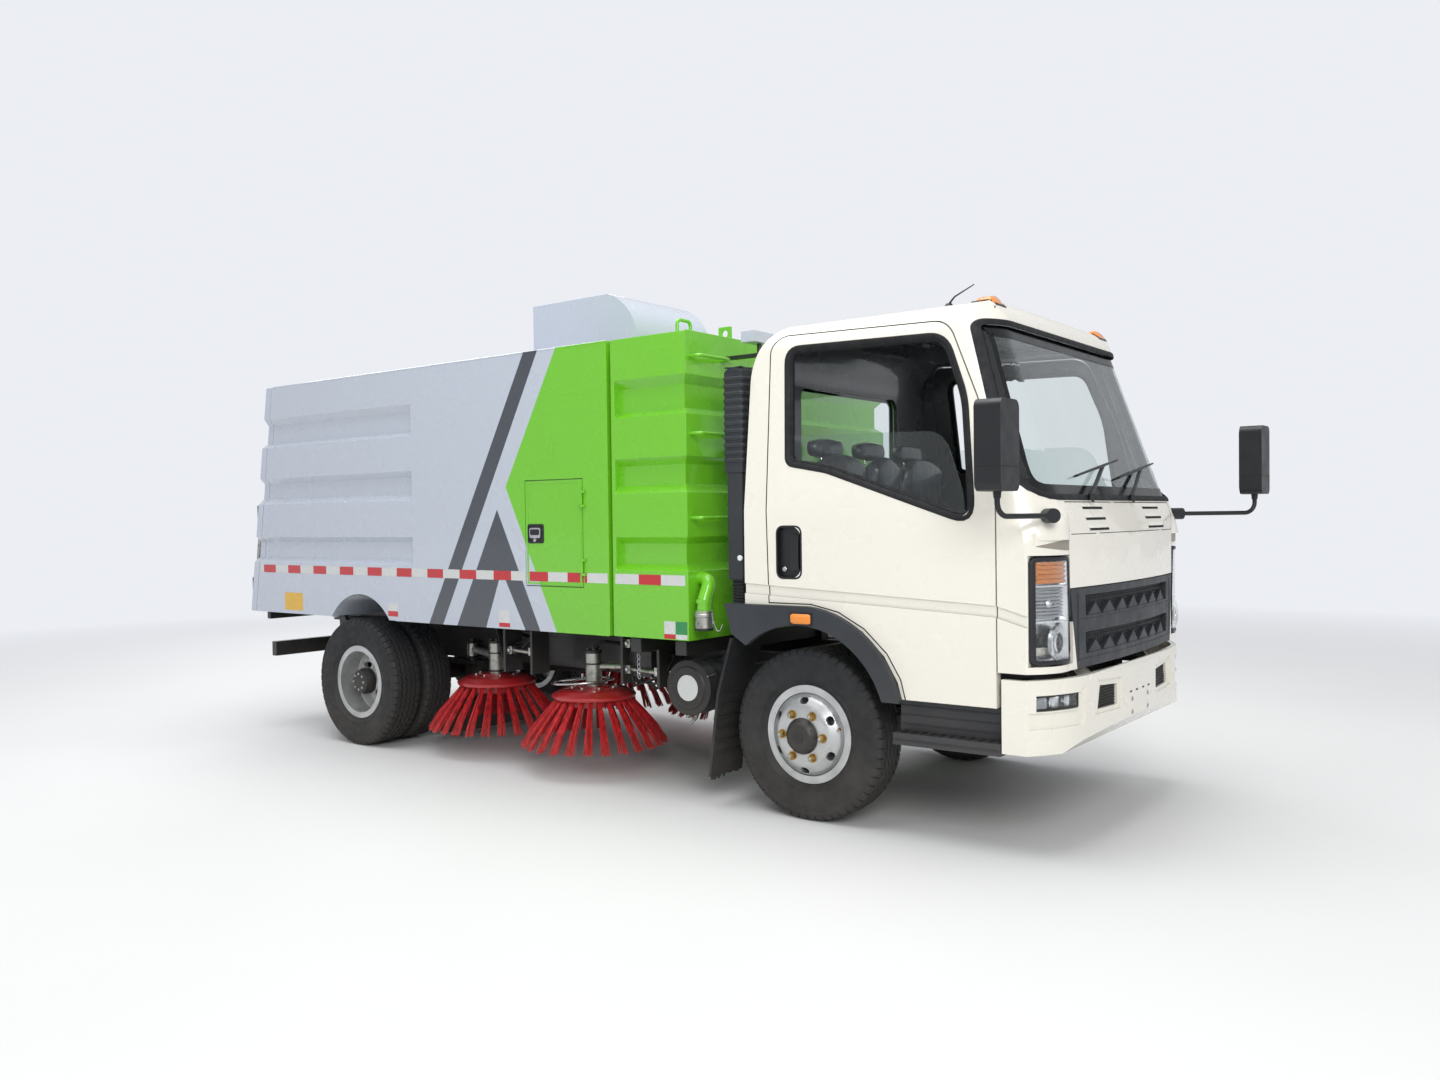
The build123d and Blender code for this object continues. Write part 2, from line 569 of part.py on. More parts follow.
glass_skin_out = cab_form(18)
glass_skin_in = cab_form(18 + glass)
with BuildPart() as cab_glass:
    add(glass_skin_out)
    add(glass_skin_in, mode=Mode.SUBTRACT)
    with BuildSketch(Plane(origin=(front_axle_x + cab_rear - 5, 0, 0), x_dir=(0, 1, 0), z_dir=(1, 0, 0))):
        add(grown(rear_window, 0))
    rear_pane = extrude(amount=90, mode=Mode.PRIVATE)
    with BuildPart(mode=Mode.PRIVATE) as front_pane:
        side_prism([(x + 0.3, z) for x, z in screen_rear], -wide, wide)
        cut_front(grown(screen_outline, 0), 0, ahead, Mode.INTERSECT)
    add([rear_pane, front_pane.part], mode=Mode.INTERSECT)
cab_glass.part.label = "cab_glass"
export_step(cab_glass.part, "parts/cab_glass.step")

# Doors, whose panes stand wound half down

pane_drop = 415
for name, s in SIDES:
    with BuildPart() as door:
        add(cab_skin.part)
        cut_side(grown(door_outline, 0), s * 700, s * wide, Mode.INTERSECT)
        cut_side(grown(window_outline, 0.3), s * 700, s * wide, Mode.SUBTRACT)
    door.part.label = f"door_{name}"
    export_step(door.part, f"parts/door_{name}.step")

    with BuildPart() as door_glass:
        add(glass_skin_out)
        add(glass_skin_in, mode=Mode.SUBTRACT)
        cut_side(grown(window_outline, 0), s * 700, s * wide, Mode.INTERSECT)
        lowered = [(row[0], row[1] - pane_drop, *row[2:]) for row in window_outline]
        cut_side(grown(lowered, 0), s * 700, s * wide, Mode.INTERSECT)
    door_glass.part.label = f"door_glass_{name}"
    export_step(door_glass.part, f"parts/door_glass_{name}.step")

# Cab inside

with BuildPart() as seats:
    seat_z = cab_arch_z + 40.3
    for y, half in ((430, 250), (-430, 250), (0, 160)):
        side_prism([(-120, seat_z), (330, seat_z), (390, seat_z + 110), (370, seat_z + 190), (-60, seat_z + 170),
                    (-150, seat_z + 760), (-235, seat_z + 745), (-210, seat_z + 120)], y - half, y + half)
seats.part.label = "seats"
export_step(seats.part, "parts/seats.step")

with BuildPart() as dashboard:
    side_prism([(820, 1180), (790, 1330), (860, 1440), (1090, 1455), (1120, 1380), (1120, cab_floor + 0.3),
                (960, cab_floor + 0.3), (930, 1130)], -(cab_half_w - 120), cab_half_w - 120)
dashboard.part.label = "dashboard"
export_step(dashboard.part, "parts/dashboard.step")

wheel_at = (640, 430, 1400)
with BuildPart() as steering_wheel:
    tilt_plane = Plane(origin=(front_axle_x + wheel_at[0], wheel_at[1], wheel_at[2]), x_dir=(0, 1, 0), z_dir=(-0.5, 0, 0.866))
    with Locations(tilt_plane):
        Torus(210, 15)
    with BuildSketch(tilt_plane.offset(-12)):
        Circle(60)
        with PolarLocations(130, 3, start_angle=90):
            Rectangle(170, 40)
    extrude(amount=16)
    with BuildSketch(tilt_plane.offset(-640)):
        Circle(38)
    extrude(amount=630)
    add(cab_floor_pan.part, mode=Mode.SUBTRACT)
    add(dashboard.part, mode=Mode.SUBTRACT)
    block(wheel_at[0], cab_nose, wheel_at[1] - 60, wheel_at[1] + 60, 600, cab_floor, mode=Mode.SUBTRACT)
steering_wheel.part.label = "steering_wheel"
export_step(steering_wheel.part, "parts/steering_wheel.step")

# Outside fittings of the cab

with BuildPart() as mirrors:
    for s, elbow_x in mirror_table:
        bx, by, bz = mirror_boss
        elbow_y = s * mirror_elbow_y
        bar((bx - 30, s * (by - 24), bz), (bx + 16, s * (by + 20), bz), 30)
        tube([(bx, s * by, bz), (elbow_x, elbow_y, bz), (elbow_x, elbow_y, bz + 138)], 11, 55)
        head = Plane(origin=(front_axle_x + elbow_x - mirror_head[0] / 2, elbow_y, bz + 98 + mirror_head[2] / 2),
                     x_dir=(0, 1, 0), z_dir=(1, 0, 0))
        with BuildSketch(head) as back:
            RectangleRounded(mirror_head[1], mirror_head[2], 34)
        extrude(back.sketch, amount=mirror_head[0])
    add(cab_outer, mode=Mode.SUBTRACT)
mirrors.part.label = "mirrors"
export_step(mirrors.part, "parts/mirrors.step")

with BuildPart() as wipers:
    for y in (-430, 120):
        bar((cowl_x + 18, y, 1496), (cowl_x - 44, y + 330, 1636), 9)
        bar((cowl_x + 18, y, 1430), (cowl_x + 18, y, 1505), 13)
    with BuildSketch(side_plane(cab_half_w)) as cowl:
        with BuildLine():
            Polyline((cowl_x + 0.3, cowl_z + 0.1), (header_x + 0.3, header_z), (header_x - 100, 1300), (cab_nose + 4.3, 1300),
                     (cab_nose + 4.3, 1340))
            ThreePointArc((cab_nose + 4.3, 1340), (cab_nose - 11.8, 1440.2), (cowl_x + 0.3, cowl_z + 0.1))
        make_face()
    extrude(cowl.sketch, amount=2 * cab_half_w, mode=Mode.SUBTRACT)
wipers.part.label = "wipers"
export_step(wipers.part, "parts/wipers.step")

flare_out = 975
with BuildPart() as fender_flares:
    for s in (-1, 1):
        with BuildSketch(side_plane(max(s * (cab_half_w + 0.3), s * flare_out))):
            with BuildLine():
                Polyline((-290, 810), (-375, 862), (-415, 1008), (60, 1008))
                ThreePointArc((60, 1008), (370, 872), (530, 603))
                Polyline((530, 603), (440, 603))
                ThreePointArc((440, 603), (190, 880), (-290, 810))
            make_face()
        extrude(amount=flare_out - cab_half_w - 0.3)
fender_flares.part.label = "fender_flares"
export_step(fender_flares.part, "parts/fender_flares.step")

# Front end below the cab, on the chassis

bumper_high = 740
bumper_low = 433
bumper_wall = 28
plate_holes = (220, 60, 545)
plate_hole_r = 4.5
bumper_edge = 500


def bumper_plan(inset):
    """The bumper's outline seen from above, full height, or smaller by an inset."""
    with BuildPart(mode=Mode.PRIVATE) as plan:
        with BuildSketch(Plane(origin=(front_axle_x, 0, bumper_low))):
            with BuildLine():
                Polyline((985, cab_half_w), (corner_x, cab_half_w))
                ThreePointArc((corner_x, cab_half_w), (cab_nose - 43, 800), (cab_nose + 4, 600))
                ThreePointArc((cab_nose + 4, 600), (cab_nose + 26, 0), (cab_nose + 4, -600))
                ThreePointArc((cab_nose + 4, -600), (cab_nose - 43, -800), (corner_x, -cab_half_w))
                Polyline((corner_x, -cab_half_w), (985, -cab_half_w), (985, cab_half_w))
            make_face()
            if inset:
                offset(amount=-inset, kind=Kind.INTERSECTION, mode=Mode.REPLACE)
        extrude(amount=bumper_high - bumper_low)
    return plan.part


with BuildPart() as bumper_core:
    add(bumper_plan(bumper_wall))
    block(900, 1300, -wide, wide, bumper_low - 1, bumper_edge, mode=Mode.SUBTRACT)
    add(bumper_plan(100))
with BuildPart() as bumper_sunk:
    for s in (-1, 1):
        front_prism([(s * 640, 700), (s * 640, 560), (s * 662, 538), (s * 930, 538), (s * 930, 606), (s * 690, 606), (s * 672, 690)],
                    1050, 1300)
        front_prism([(s * 245, 552), (s * 245, 690), (s * 520, 706), (s * 548, 560)], 1100, 1300)
    add(bumper_plan(11), mode=Mode.SUBTRACT)
with BuildPart() as bumper:
    add(bumper_plan(0))
    add(bumper_core.part, mode=Mode.SUBTRACT)
    add(bumper_sunk.part, mode=Mode.SUBTRACT)
    side_prism([(cab_nose + 6, bumper_high + 1), (cab_nose + 32, bumper_high + 1), (cab_nose + 32, 714)],
               -cab_half_w, cab_half_w, mode=Mode.SUBTRACT)
    side_prism([(cab_nose + 27, bumper_edge), (cab_nose - 41, bumper_low - 1), (cab_nose + 60, bumper_low - 1),
                (cab_nose + 60, bumper_edge)], -cab_half_w - 1, cab_half_w + 1, mode=Mode.SUBTRACT)
    block(984, 985 + bumper_wall + 1, -(cab_half_w - bumper_wall), cab_half_w - bumper_wall, bumper_low - 1, bumper_high + 1,
          mode=Mode.SUBTRACT)
    for s in (-1, 1):
        front_prism([(s * 275, 572), (s * 275, 664), (s * 470, 678), (s * 496, 578)], 1100, 1300, mode=Mode.SUBTRACT)
        block(1085, 1300, s * 676, s * 905, 612, 677, mode=Mode.SUBTRACT)
        block(rail_front + 14.3, cab_nose + 7, s * 310, s * 350, 530, 570)
    with BuildSketch(Plane(origin=(front_axle_x + 1150, 0, plate_holes[2]), x_dir=(0, 1, 0), z_dir=(1, 0, 0))) as plate:
        with GridLocations(plate_holes[0], plate_holes[1], 2, 2):
            Circle(plate_hole_r)
    extrude(amount=120, mode=Mode.SUBTRACT)
bumper.part.label = "bumper"
export_step(bumper.part, "parts/bumper.step")

with BuildPart() as steps:
    for s in (-1, 1):
        front_prism([(s * 705, 417), (s * 935, 417), (s * 935, 470), (s * 860, 470), (s * 860, 606), (s * 705, 606)], 475, 978)
        block(700, 760, s * (rail_outer_y + 0.3), s * 706, 540, 590)
steps.part.label = "steps"
export_step(steps.part, "parts/steps.step")

with BuildPart() as front_mudflaps:
    for s in (-1, 1):
        side_prism([(-392, 840), (-478, 560), (-532, 150), (-518, 150), (-462, 560), (-376, 836)], s * 705, s * 965)
        block(-478, -440, s * (rail_outer_y + 0.3), s * 706, 640, 680)
front_mudflaps.part.label = "front_mudflaps"
export_step(front_mudflaps.part, "parts/front_mudflaps.step")

# Air intake: snorkel behind the cab and cleaner drum below

with BuildPart() as air_intake:
    block(-455, -350, -900, -790, 1640, 2130)
    block(-445, -360, -895, -795, 1120, 1640)
    block(-430, -370, -880, -810, 1008, 1120)
    tube([(-400, -845, 1009), (-400, -845, 905), (-520, -640, 790), (-700, -640, 630)], 42, 50)
    bar((-730, -862, 560), (-730, -560, 560), 136)
    block(-760, -700, -561, -rail_outer_y - 0.3, 600, 660)
air_intake.part.label = "air_intake"
export_step(air_intake.part, "parts/air_intake.step")

with BuildPart() as fuel_tank:
    block(-1010, -600, 500, 900, 330, 690)
    fillet(fuel_tank.edges().filter_by(Axis.X), 50)
    for x in (-900, -710):
        block(x - 20, x + 20, rail_outer_y + 0.3, 501, 560, 640)
fuel_tank.part.label = "fuel_tank"
export_step(fuel_tank.part, "parts/fuel_tank.step")

# Water tank behind the cab, ribbed round its sides and front

lift_eye = (tank_front - 45, -590, body_high + 30)
lift_eye_t = 12
lift_eye_r = 18
with BuildPart() as water_tank:
    block(tank_rear, tank_front, -body_half_w, body_half_w, body_low, body_high)
    for top, in_top, in_low, low in grooves:
        for s in (-1, 1):
            front_prism([(s * (body_half_w + 1), top), (s * (body_half_w - groove_depth), in_top),
                         (s * (body_half_w - groove_depth), in_low), (s * (body_half_w + 1), low)],
                        tank_rear + 25, tank_front + 1, mode=Mode.SUBTRACT)
        side_prism([(tank_front + 1, top), (tank_front - groove_depth, in_top), (tank_front - groove_depth, in_low),
                    (tank_front + 1, low)], -body_half_w - 1, body_half_w + 1, mode=Mode.SUBTRACT)
    block(lift_eye[0] - 40, lift_eye[0] + 40, lift_eye[1] - lift_eye_t / 2, lift_eye[1] + lift_eye_t / 2, body_high - 10,
          lift_eye[2] + lift_eye_r + 18)
    bar((lift_eye[0], lift_eye[1] - lift_eye_t / 2 - 1, lift_eye[2]), (lift_eye[0], lift_eye[1] + lift_eye_t / 2 + 1, lift_eye[2]),
        lift_eye_r, mode=Mode.SUBTRACT)
    for s in (-1, 1):
        block(tank_rear + 60, tank_front - 60, s * 305, s * 375, sill_top + 0.3, body_low + 5)
water_tank.part.label = "water_tank"
export_step(water_tank.part, "parts/water_tank.step")

with BuildPart() as tank_rungs:
    for z in (2222, 1840, 1422):
        tube([(tank_front + 0.3, -945, z), (tank_front + 62, -945, z), (tank_front + 62, -690, z), (tank_front + 0.3, -690, z)], 9, 25)
    tube([(tank_front - 60, -965, body_high + 0.3), (tank_front - 60, -965, body_high + 60), (tank_front - 60, -860, body_high + 60),
          (tank_front - 60, -860, body_high + 0.3)], 9, 25)
tank_rungs.part.label = "tank_rungs"
export_step(tank_rungs.part, "parts/tank_rungs.step")

pipe_y = -(body_half_w - 45)
pipe_x = tank_front + 62
coupling_low = 870
coupling_bore_r = 32.5
coupling_depth = 60
with BuildPart() as hydrant_pipe:
    tube([(tank_front - 30, pipe_y + 55, 1120), (pipe_x, pipe_y + 55, 1120), (pipe_x, pipe_y, 1010), (pipe_x, pipe_y, 940)],
         34, 45)
    bar((pipe_x, pipe_y, 965), (pipe_x, pipe_y, coupling_low), 43)
    bar((pipe_x, pipe_y, coupling_low - 1), (pipe_x, pipe_y, coupling_low + coupling_depth), coupling_bore_r,
        mode=Mode.SUBTRACT)
    add(water_tank.part, mode=Mode.SUBTRACT)
hydrant_pipe.part.label = "hydrant_pipe"
export_step(hydrant_pipe.part, "parts/hydrant_pipe.step")

# Hopper: a hollow box whose rear wall is the hatch

lean = (hopper_rear_high - hopper_rear_low) / (body_high - body_low)


def rear_face(z):
    """Station of the leaning rear face at a height."""
    return hopper_rear_low + lean * (z - body_low)


slant = sqrt(1 + lean * lean)
hatch_step = hatch_t * slant
hatch_gap = 6 * slant
hatch_hinge = (rear_face(body_high) + hatch_step / 2, body_high + 30)
hatch_pin_r = 10
locker = (-1787, -1343, 1057, 1640)
locker_t = 22
locker_hinge = (locker[1] - 5, -(body_half_w + 8))
locker_pin_r = 4
locker_knuckle_r = 7.3
with BuildPart() as hopper_shell:
    side_prism([(rear_face(body_low) + hatch_step + hatch_gap, body_low), (rear_face(body_high) + hatch_step + hatch_gap, body_high),
                (hopper_front, body_high), (hopper_front, body_low)], -body_half_w, body_half_w)
    side_prism([(rear_face(body_low) - 50, body_low + hopper_wall), (rear_face(body_high) - 50, body_high - hopper_wall),
                (hopper_front - hopper_wall, body_high - hopper_wall), (hopper_front - hopper_wall, body_low + hopper_wall)],
               -(body_half_w - hopper_wall), body_half_w - hopper_wall, mode=Mode.SUBTRACT)
    for s in (-1, 1):
        block(arch_x - arch_r - 40, arch_x + arch_r + 40, s * 500, s * (body_half_w - 1), body_low, arch_z + arch_r + 40)
        with BuildSketch(side_plane(max(s * 520, s * (body_half_w + 5)))):
            with Locations((arch_x, arch_z)):
                Circle(arch_r)
        extrude(amount=body_half_w + 5 - 520, mode=Mode.SUBTRACT)
        for top, in_top, in_low, low in grooves:
            front_prism([(s * (body_half_w + 1), top), (s * (body_half_w - groove_depth), in_top),
                         (s * (body_half_w - groove_depth), in_low), (s * (body_half_w + 1), low)],
                        hopper_rear_low - 10, groove_end, mode=Mode.SUBTRACT)
    block(locker[0] - 40, locker[1] + 40, -(body_half_w - 1), -(body_half_w - 240), locker[2] - 40, locker[3] + 40)
    block(locker[0], locker[1], -(body_half_w + 1), -(body_half_w - locker_t - 6), locker[2], locker[3], mode=Mode.SUBTRACT)
    block(locker[0] + 30, locker[1] - 30, -(body_half_w - 20), -(body_half_w - 200), locker[2] + 30, locker[3] - 30,
          mode=Mode.SUBTRACT)
    for z in (locker[2] + 110, locker[3] - 110):
        for end in (-1, 1):
            low, high = sorted((z + end * 31, z + end * 45))
            block(locker_hinge[0] + 1, locker_hinge[0] + 25, -(body_half_w - 1), locker_hinge[1] - 4, low, high)
            bar((*locker_hinge, low), (*locker_hinge, high), locker_pin_r + 2.5)
        bar((locker_hinge[0], locker_hinge[1], z - 45), (locker_hinge[0], locker_hinge[1], z + 45), locker_pin_r)
    for s in (-1, 1):
        y_lug = s * (rail_outer_y + 45)
        side_prism([(tip_hinge_x - 60, body_low + 5), (tip_hinge_x + 60, body_low + 5), (tip_hinge_x + 34, tip_hinge_z - 20),
                    (tip_hinge_x, tip_hinge_z - 36), (tip_hinge_x - 34, tip_hinge_z - 20)], y_lug - 18, y_lug + 18)
        bar((tip_hinge_x, y_lug - 20, tip_hinge_z), (tip_hinge_x, y_lug + 20, tip_hinge_z), tip_pin_r + 0.05,
            mode=Mode.SUBTRACT)
        block(hopper_front - 150, hopper_front - 60, s * 305, s * 375, sill_top + 0.3, body_low + 5)
        side_prism([(eye[0] - 60, body_low + 5), (eye[0] + 60, body_low + 5), (eye[0] + 26, eye[1] - 16), (eye[0], eye[1] - 24),
                    (eye[0] - 26, eye[1] - 16)], s * 27, s * 39)
        bar((eye[0], s * 26, eye[1]), (eye[0], s * 40, eye[1]), 14, mode=Mode.SUBTRACT)
    for y in (-600, 600):
        for end in (-1, 1):
            side_prism([(hatch_hinge[0] - 20, hatch_hinge[1] - 8), (hatch_hinge[0] - 20, hatch_hinge[1] + 14),
                        (hatch_hinge[0] + 20, hatch_hinge[1] + 20), (hatch_hinge[0] + 150, body_high + 12),
                        (hatch_hinge[0] + 150, body_high - 5), (hatch_hinge[0] + 44, body_high - 5),
                        (hatch_hinge[0] + 20, hatch_hinge[1] - 12)], y + end * 62, y + end * 78)
        bar((hatch_hinge[0], y - 78, hatch_hinge[1]), (hatch_hinge[0], y + 78, hatch_hinge[1]), hatch_pin_r)
hopper_shell.part.label = "hopper_shell"
export_step(hopper_shell.part, "parts/hopper_shell.step")

with BuildPart() as fan_hood:
    with BuildSketch(side_plane(353)):
        with BuildLine():
            Polyline((-1497, body_high + 0.3), (-2355, body_high + 0.3), (-2355, 2752), (-1722, 2752))
            ThreePointArc((-1722, 2752), (-1565, 2645), (-1497, 2480))
            Line((-1497, 2480), (-1497, body_high + 0.3))
        make_face()
    extrude(amount=706)
fan_hood.part.label = "fan_hood"
export_step(fan_hood.part, "parts/fan_hood.step")

with BuildPart() as rear_hatch:
    side_prism([(rear_face(body_low), body_low), (rear_face(body_high), body_high),
                (rear_face(body_high) + hatch_step, body_high), (rear_face(body_low) + hatch_step, body_low)],
               -body_half_w, body_half_w)
    for s in (-1, 1):
        for top, in_top, in_low, low in grooves:
            front_prism([(s * (body_half_w + 1), top), (s * (body_half_w - groove_depth), in_top),
                         (s * (body_half_w - groove_depth), in_low), (s * (body_half_w + 1), low)],
                        hopper_rear_low - 10, groove_end, mode=Mode.SUBTRACT)
    for y in (-600, 600):
        bar((hatch_hinge[0], y - 60, hatch_hinge[1]), (hatch_hinge[0], y + 60, hatch_hinge[1]), 22)
        block(hatch_hinge[0] - 20, hatch_hinge[0] + 16, y - 60, y + 60, body_high - 5, hatch_hinge[1])
        bar((hatch_hinge[0], y - 61, hatch_hinge[1]), (hatch_hinge[0], y + 61, hatch_hinge[1]), hatch_pin_r + 0.05,
            mode=Mode.SUBTRACT)
rear_hatch.part.label = "rear_hatch"
export_step(rear_hatch.part, "parts/rear_hatch.step")

locker_gap = 5
with BuildPart() as locker_door:
    block(locker[0] + locker_gap, locker[1] - locker_gap, -body_half_w, -(body_half_w - locker_t),
          locker[2] + locker_gap, locker[3] - locker_gap)
    for z in (locker[2] + 110, locker[3] - 110):
        block(locker_hinge[0] - 30, locker_hinge[0], -(body_half_w - 1), locker_hinge[1] - 4, z - 30, z + 30)
        bar((locker_hinge[0], locker_hinge[1], z - 30), (locker_hinge[0], locker_hinge[1], z + 30), locker_knuckle_r)
        bar((locker_hinge[0], locker_hinge[1], z - 31), (locker_hinge[0], locker_hinge[1], z + 31), locker_pin_r + 0.05,
            mode=Mode.SUBTRACT)
locker_door.part.label = "locker_door"
export_step(locker_door.part, "parts/locker_door.step")

# Tipping cylinder, its rod's eye between two ears under the hopper floor

reach = hypot(eye[0] - base[0], eye[1] - base[1])
along = ((eye[0] - base[0]) / reach, (eye[1] - base[1]) / reach)
barrel_r = 42
across = (-along[1], along[0])


def cylinder_point(u, v):
    """Station and height of a point u along the cylinder from its base and v across it."""
    return (base[0] + along[0] * u + across[0] * v, base[1] + along[1] * u + across[1] * v)


with BuildPart() as tip_barrel:
    side_prism([cylinder_point(0, -24), cylinder_point(56, -24), cylinder_point(56, 24), cylinder_point(0, 24)], -20, 20)
    bar((base[0], -20, base[1]), (base[0], 20, base[1]), 28)
    start, end = cylinder_point(54, 0), cylinder_point(670, 0)
    bar((start[0], 0, start[1]), (end[0], 0, end[1]), barrel_r)
    start, end = cylinder_point(80, 0), cylinder_point(671, 0)
    bar((start[0], 0, start[1]), (end[0], 0, end[1]), 25.3, mode=Mode.SUBTRACT)
    bar((base[0], -21, base[1]), (base[0], 21, base[1]), 14.05, mode=Mode.SUBTRACT)
tip_barrel.part.label = "tip_barrel"
export_step(tip_barrel.part, "parts/tip_barrel.step")

with BuildPart() as tip_rod:
    start, end = cylinder_point(90, 0), cylinder_point(reach - 10, 0)
    bar((start[0], 0, start[1]), (end[0], 0, end[1]), 25)
    bar((eye[0], -20, eye[1]), (eye[0], 20, eye[1]), 30)
    bar((eye[0], -21, eye[1]), (eye[0], 21, eye[1]), 14, mode=Mode.SUBTRACT)
tip_rod.part.label = "tip_rod"
export_step(tip_rod.part, "parts/tip_rod.step")

# Rear end

with BuildPart() as underrun_bar:
    block(-4500, -4450, -870, 870, 490, 590)
    for s in (-1, 1):
        side_prism([(rail_rear - 0.3, rail_low - 0.3), (rail_rear - 0.3, 590), (-4450.3, 590), (-4450.3, 490), (rail_rear + 90, 500),
                    (rail_rear + 120, rail_low - 0.3)], s * 325, s * 360)
underrun_bar.part.label = "underrun_bar"
export_step(underrun_bar.part, "parts/underrun_bar.step")

with BuildPart() as tail_lamps:
    for s in (-1, 1):
        block(hopper_rear_low + hatch_step + 10, hopper_rear_low + hatch_step + 48, s * 480, s * 900, body_low - 60,
              body_low - 0.3)
tail_lamps.part.label = "tail_lamps"
export_step(tail_lamps.part, "parts/tail_lamps.step")

# Suction mouth between the rear wheels, its hose and hangers

with BuildPart() as suction_unit:
    mouth = (-3190, -2990)
    front_prism([(-490, 36), (490, 36), (490, 150), (160, 250), (-300, 250), (-490, 150)], mouth[0], mouth[1])
    front_prism([(-480, 35), (480, 35), (480, 145), (155, 240), (-295, 240), (-480, 145)], mouth[0] + 12, mouth[1] - 12,
                mode=Mode.SUBTRACT)
    tube([(-3090, -210, 245), (-3090, -210, 420), (-2900, -210, 640), (-2900, -210, body_low - 8)], 78, 130)
    for s in (-1, 1):
        block(-3110, -3080, s * (rail_outer_y - rail_flange - 15.3), s * (rail_outer_y - rail_flange - 0.3), 190, rail_high - 20)
suction_unit.part.label = "suction_unit"
export_step(suction_unit.part, "parts/suction_unit.step")

# Side brushes: an arm on a pin beside the rail, with a motor over the brush

for place, x, y, pivot_x in brush_table:
    for name, s in SIDES:
        toward = 1 if pivot_x > x else -1
        with BuildPart() as brush_arm:
            bar((pivot_x, s * brush_pivot_y, brush_arm_z - 40), (pivot_x, s * brush_pivot_y, brush_arm_z + 40), 32)
            bar((pivot_x - toward * 20, s * brush_pivot_y, brush_arm_z), (x, s * y, brush_arm_z), 22)
            bar((x, s * y, brush_disc_z + 44), (x, s * y, brush_arm_z + 90), 46)
            bar((x, s * y, brush_disc_z - 10), (x, s * y, brush_disc_z + 50), brush_shaft_r)
            bar((pivot_x, s * brush_pivot_y, brush_arm_z - 41), (pivot_x, s * brush_pivot_y, brush_arm_z + 41), 15.05,
                mode=Mode.SUBTRACT)
        brush_arm.part.label = f"brush_arm_{place}_{name}"
        export_step(brush_arm.part, f"parts/brush_arm_{place}_{name}.step")

        with BuildPart() as brush:
            centre = (front_axle_x + x, s * y)
            with BuildSketch(Plane(origin=(*centre, 0), x_dir=(1, 0, 0), z_dir=(0, -1, 0))):
                with BuildLine():
                    Polyline((brush_shaft_r + 0.05, brush_disc_z + 43), (150, brush_disc_z + 40), (190, brush_disc_z + 30),
                             (brush_disc_r, brush_disc_z), (brush_disc_r, brush_disc_z - 14), (150, brush_disc_z - 14),
                             (150, brush_disc_z - 60), (0, brush_disc_z - 60), (0, brush_disc_z - 11),
                             (brush_shaft_r + 0.05, brush_disc_z - 11), close=True)
                make_face()
            revolve(axis=Axis((*centre, 0), (0, 0, 1)), revolution_arc=360)
            for n in range(brush_tufts):
                a = 2 * pi * n / brush_tufts
                ca, sa = cos(a), sin(a)
                root = Vector(centre[0] + 195 * ca, centre[1] + 195 * sa, brush_disc_z - 8)
                tip = Vector(centre[0] + (brush_tip_r - 22) * ca, centre[1] + (brush_tip_r - 22) * sa, brush_tip_z)
                lean_dir = tip - root
                tuft = Plane(origin=root, x_dir=(-sa, ca, 0), z_dir=lean_dir)
                with BuildSketch(tuft):
                    Rectangle(26, 22)
                with BuildSketch(tuft.offset(lean_dir.length)):
                    Rectangle(50, 26)
                loft()
        brush.part.label = f"brush_{place}_{name}"
        export_step(brush.part, f"parts/brush_{place}_{name}.step")
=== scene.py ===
from math import cos, hypot, pi, radians, sin, sqrt
import random

import bmesh
import bpy
from mathutils import Matrix, Vector
from mathutils.bvhtree import BVHTree
from mathutils.geometry import tessellate_polygon


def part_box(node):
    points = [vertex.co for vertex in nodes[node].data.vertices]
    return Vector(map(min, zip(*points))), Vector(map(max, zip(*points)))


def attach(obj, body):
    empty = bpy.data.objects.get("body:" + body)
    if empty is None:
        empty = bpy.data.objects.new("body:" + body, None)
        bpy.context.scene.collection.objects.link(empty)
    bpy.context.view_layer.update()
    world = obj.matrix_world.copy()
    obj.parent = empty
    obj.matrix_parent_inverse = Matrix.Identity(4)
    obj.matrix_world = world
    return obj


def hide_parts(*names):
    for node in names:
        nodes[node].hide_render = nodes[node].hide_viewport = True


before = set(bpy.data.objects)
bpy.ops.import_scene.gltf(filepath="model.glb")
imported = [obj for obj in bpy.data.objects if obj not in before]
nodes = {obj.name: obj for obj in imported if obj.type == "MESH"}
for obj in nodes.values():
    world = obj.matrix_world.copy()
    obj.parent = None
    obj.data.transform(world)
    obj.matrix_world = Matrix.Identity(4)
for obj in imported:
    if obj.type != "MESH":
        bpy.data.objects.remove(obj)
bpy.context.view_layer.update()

SIDES = (("right", -1), ("left", 1))
AHEAD, UP = (1, 0, 0), (0, 0, 1)

# Driving sizes, mm, with stations from the front axle
tyre_low, tyre_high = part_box("tyre_front_right")
rear_low, rear_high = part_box("tyre_rear_right")
FRONT_AXLE = (tyre_low.x + tyre_high.x) / 2
REAR_AXLE = ((rear_low.x + rear_high.x) / 2 - FRONT_AXLE) * 1000
TYRE_R = (tyre_high.z - tyre_low.z) * 500
TYRE_HALF = (tyre_high.y - tyre_low.y) * 500
FRONT_TRACK = -(tyre_high.y + tyre_low.y) * 500
REAR_OUTER = -rear_low.y * 1000 - TYRE_HALF
REAR_INNER = -rear_high.y * 1000 + TYRE_HALF
CAB_HALF = 940
PILLAR_Z, ROOF_EDGE_Z, ROOF_HALF = 1450, 2190, 860
SCREEN_LOW, SCREEN_HIGH = (1165, 1488), (905, 2270)
SCREEN_R = 224
BUMPER_FLAT_Z = 708
BODY_HALF = 980
BODY_LOW, BODY_HIGH = 812, 2346
BODY_REAR_HIGH = -4330
TANK_FRONT, TANK_REAR = -633, -1135
UNDERRUN_FACE = -4502
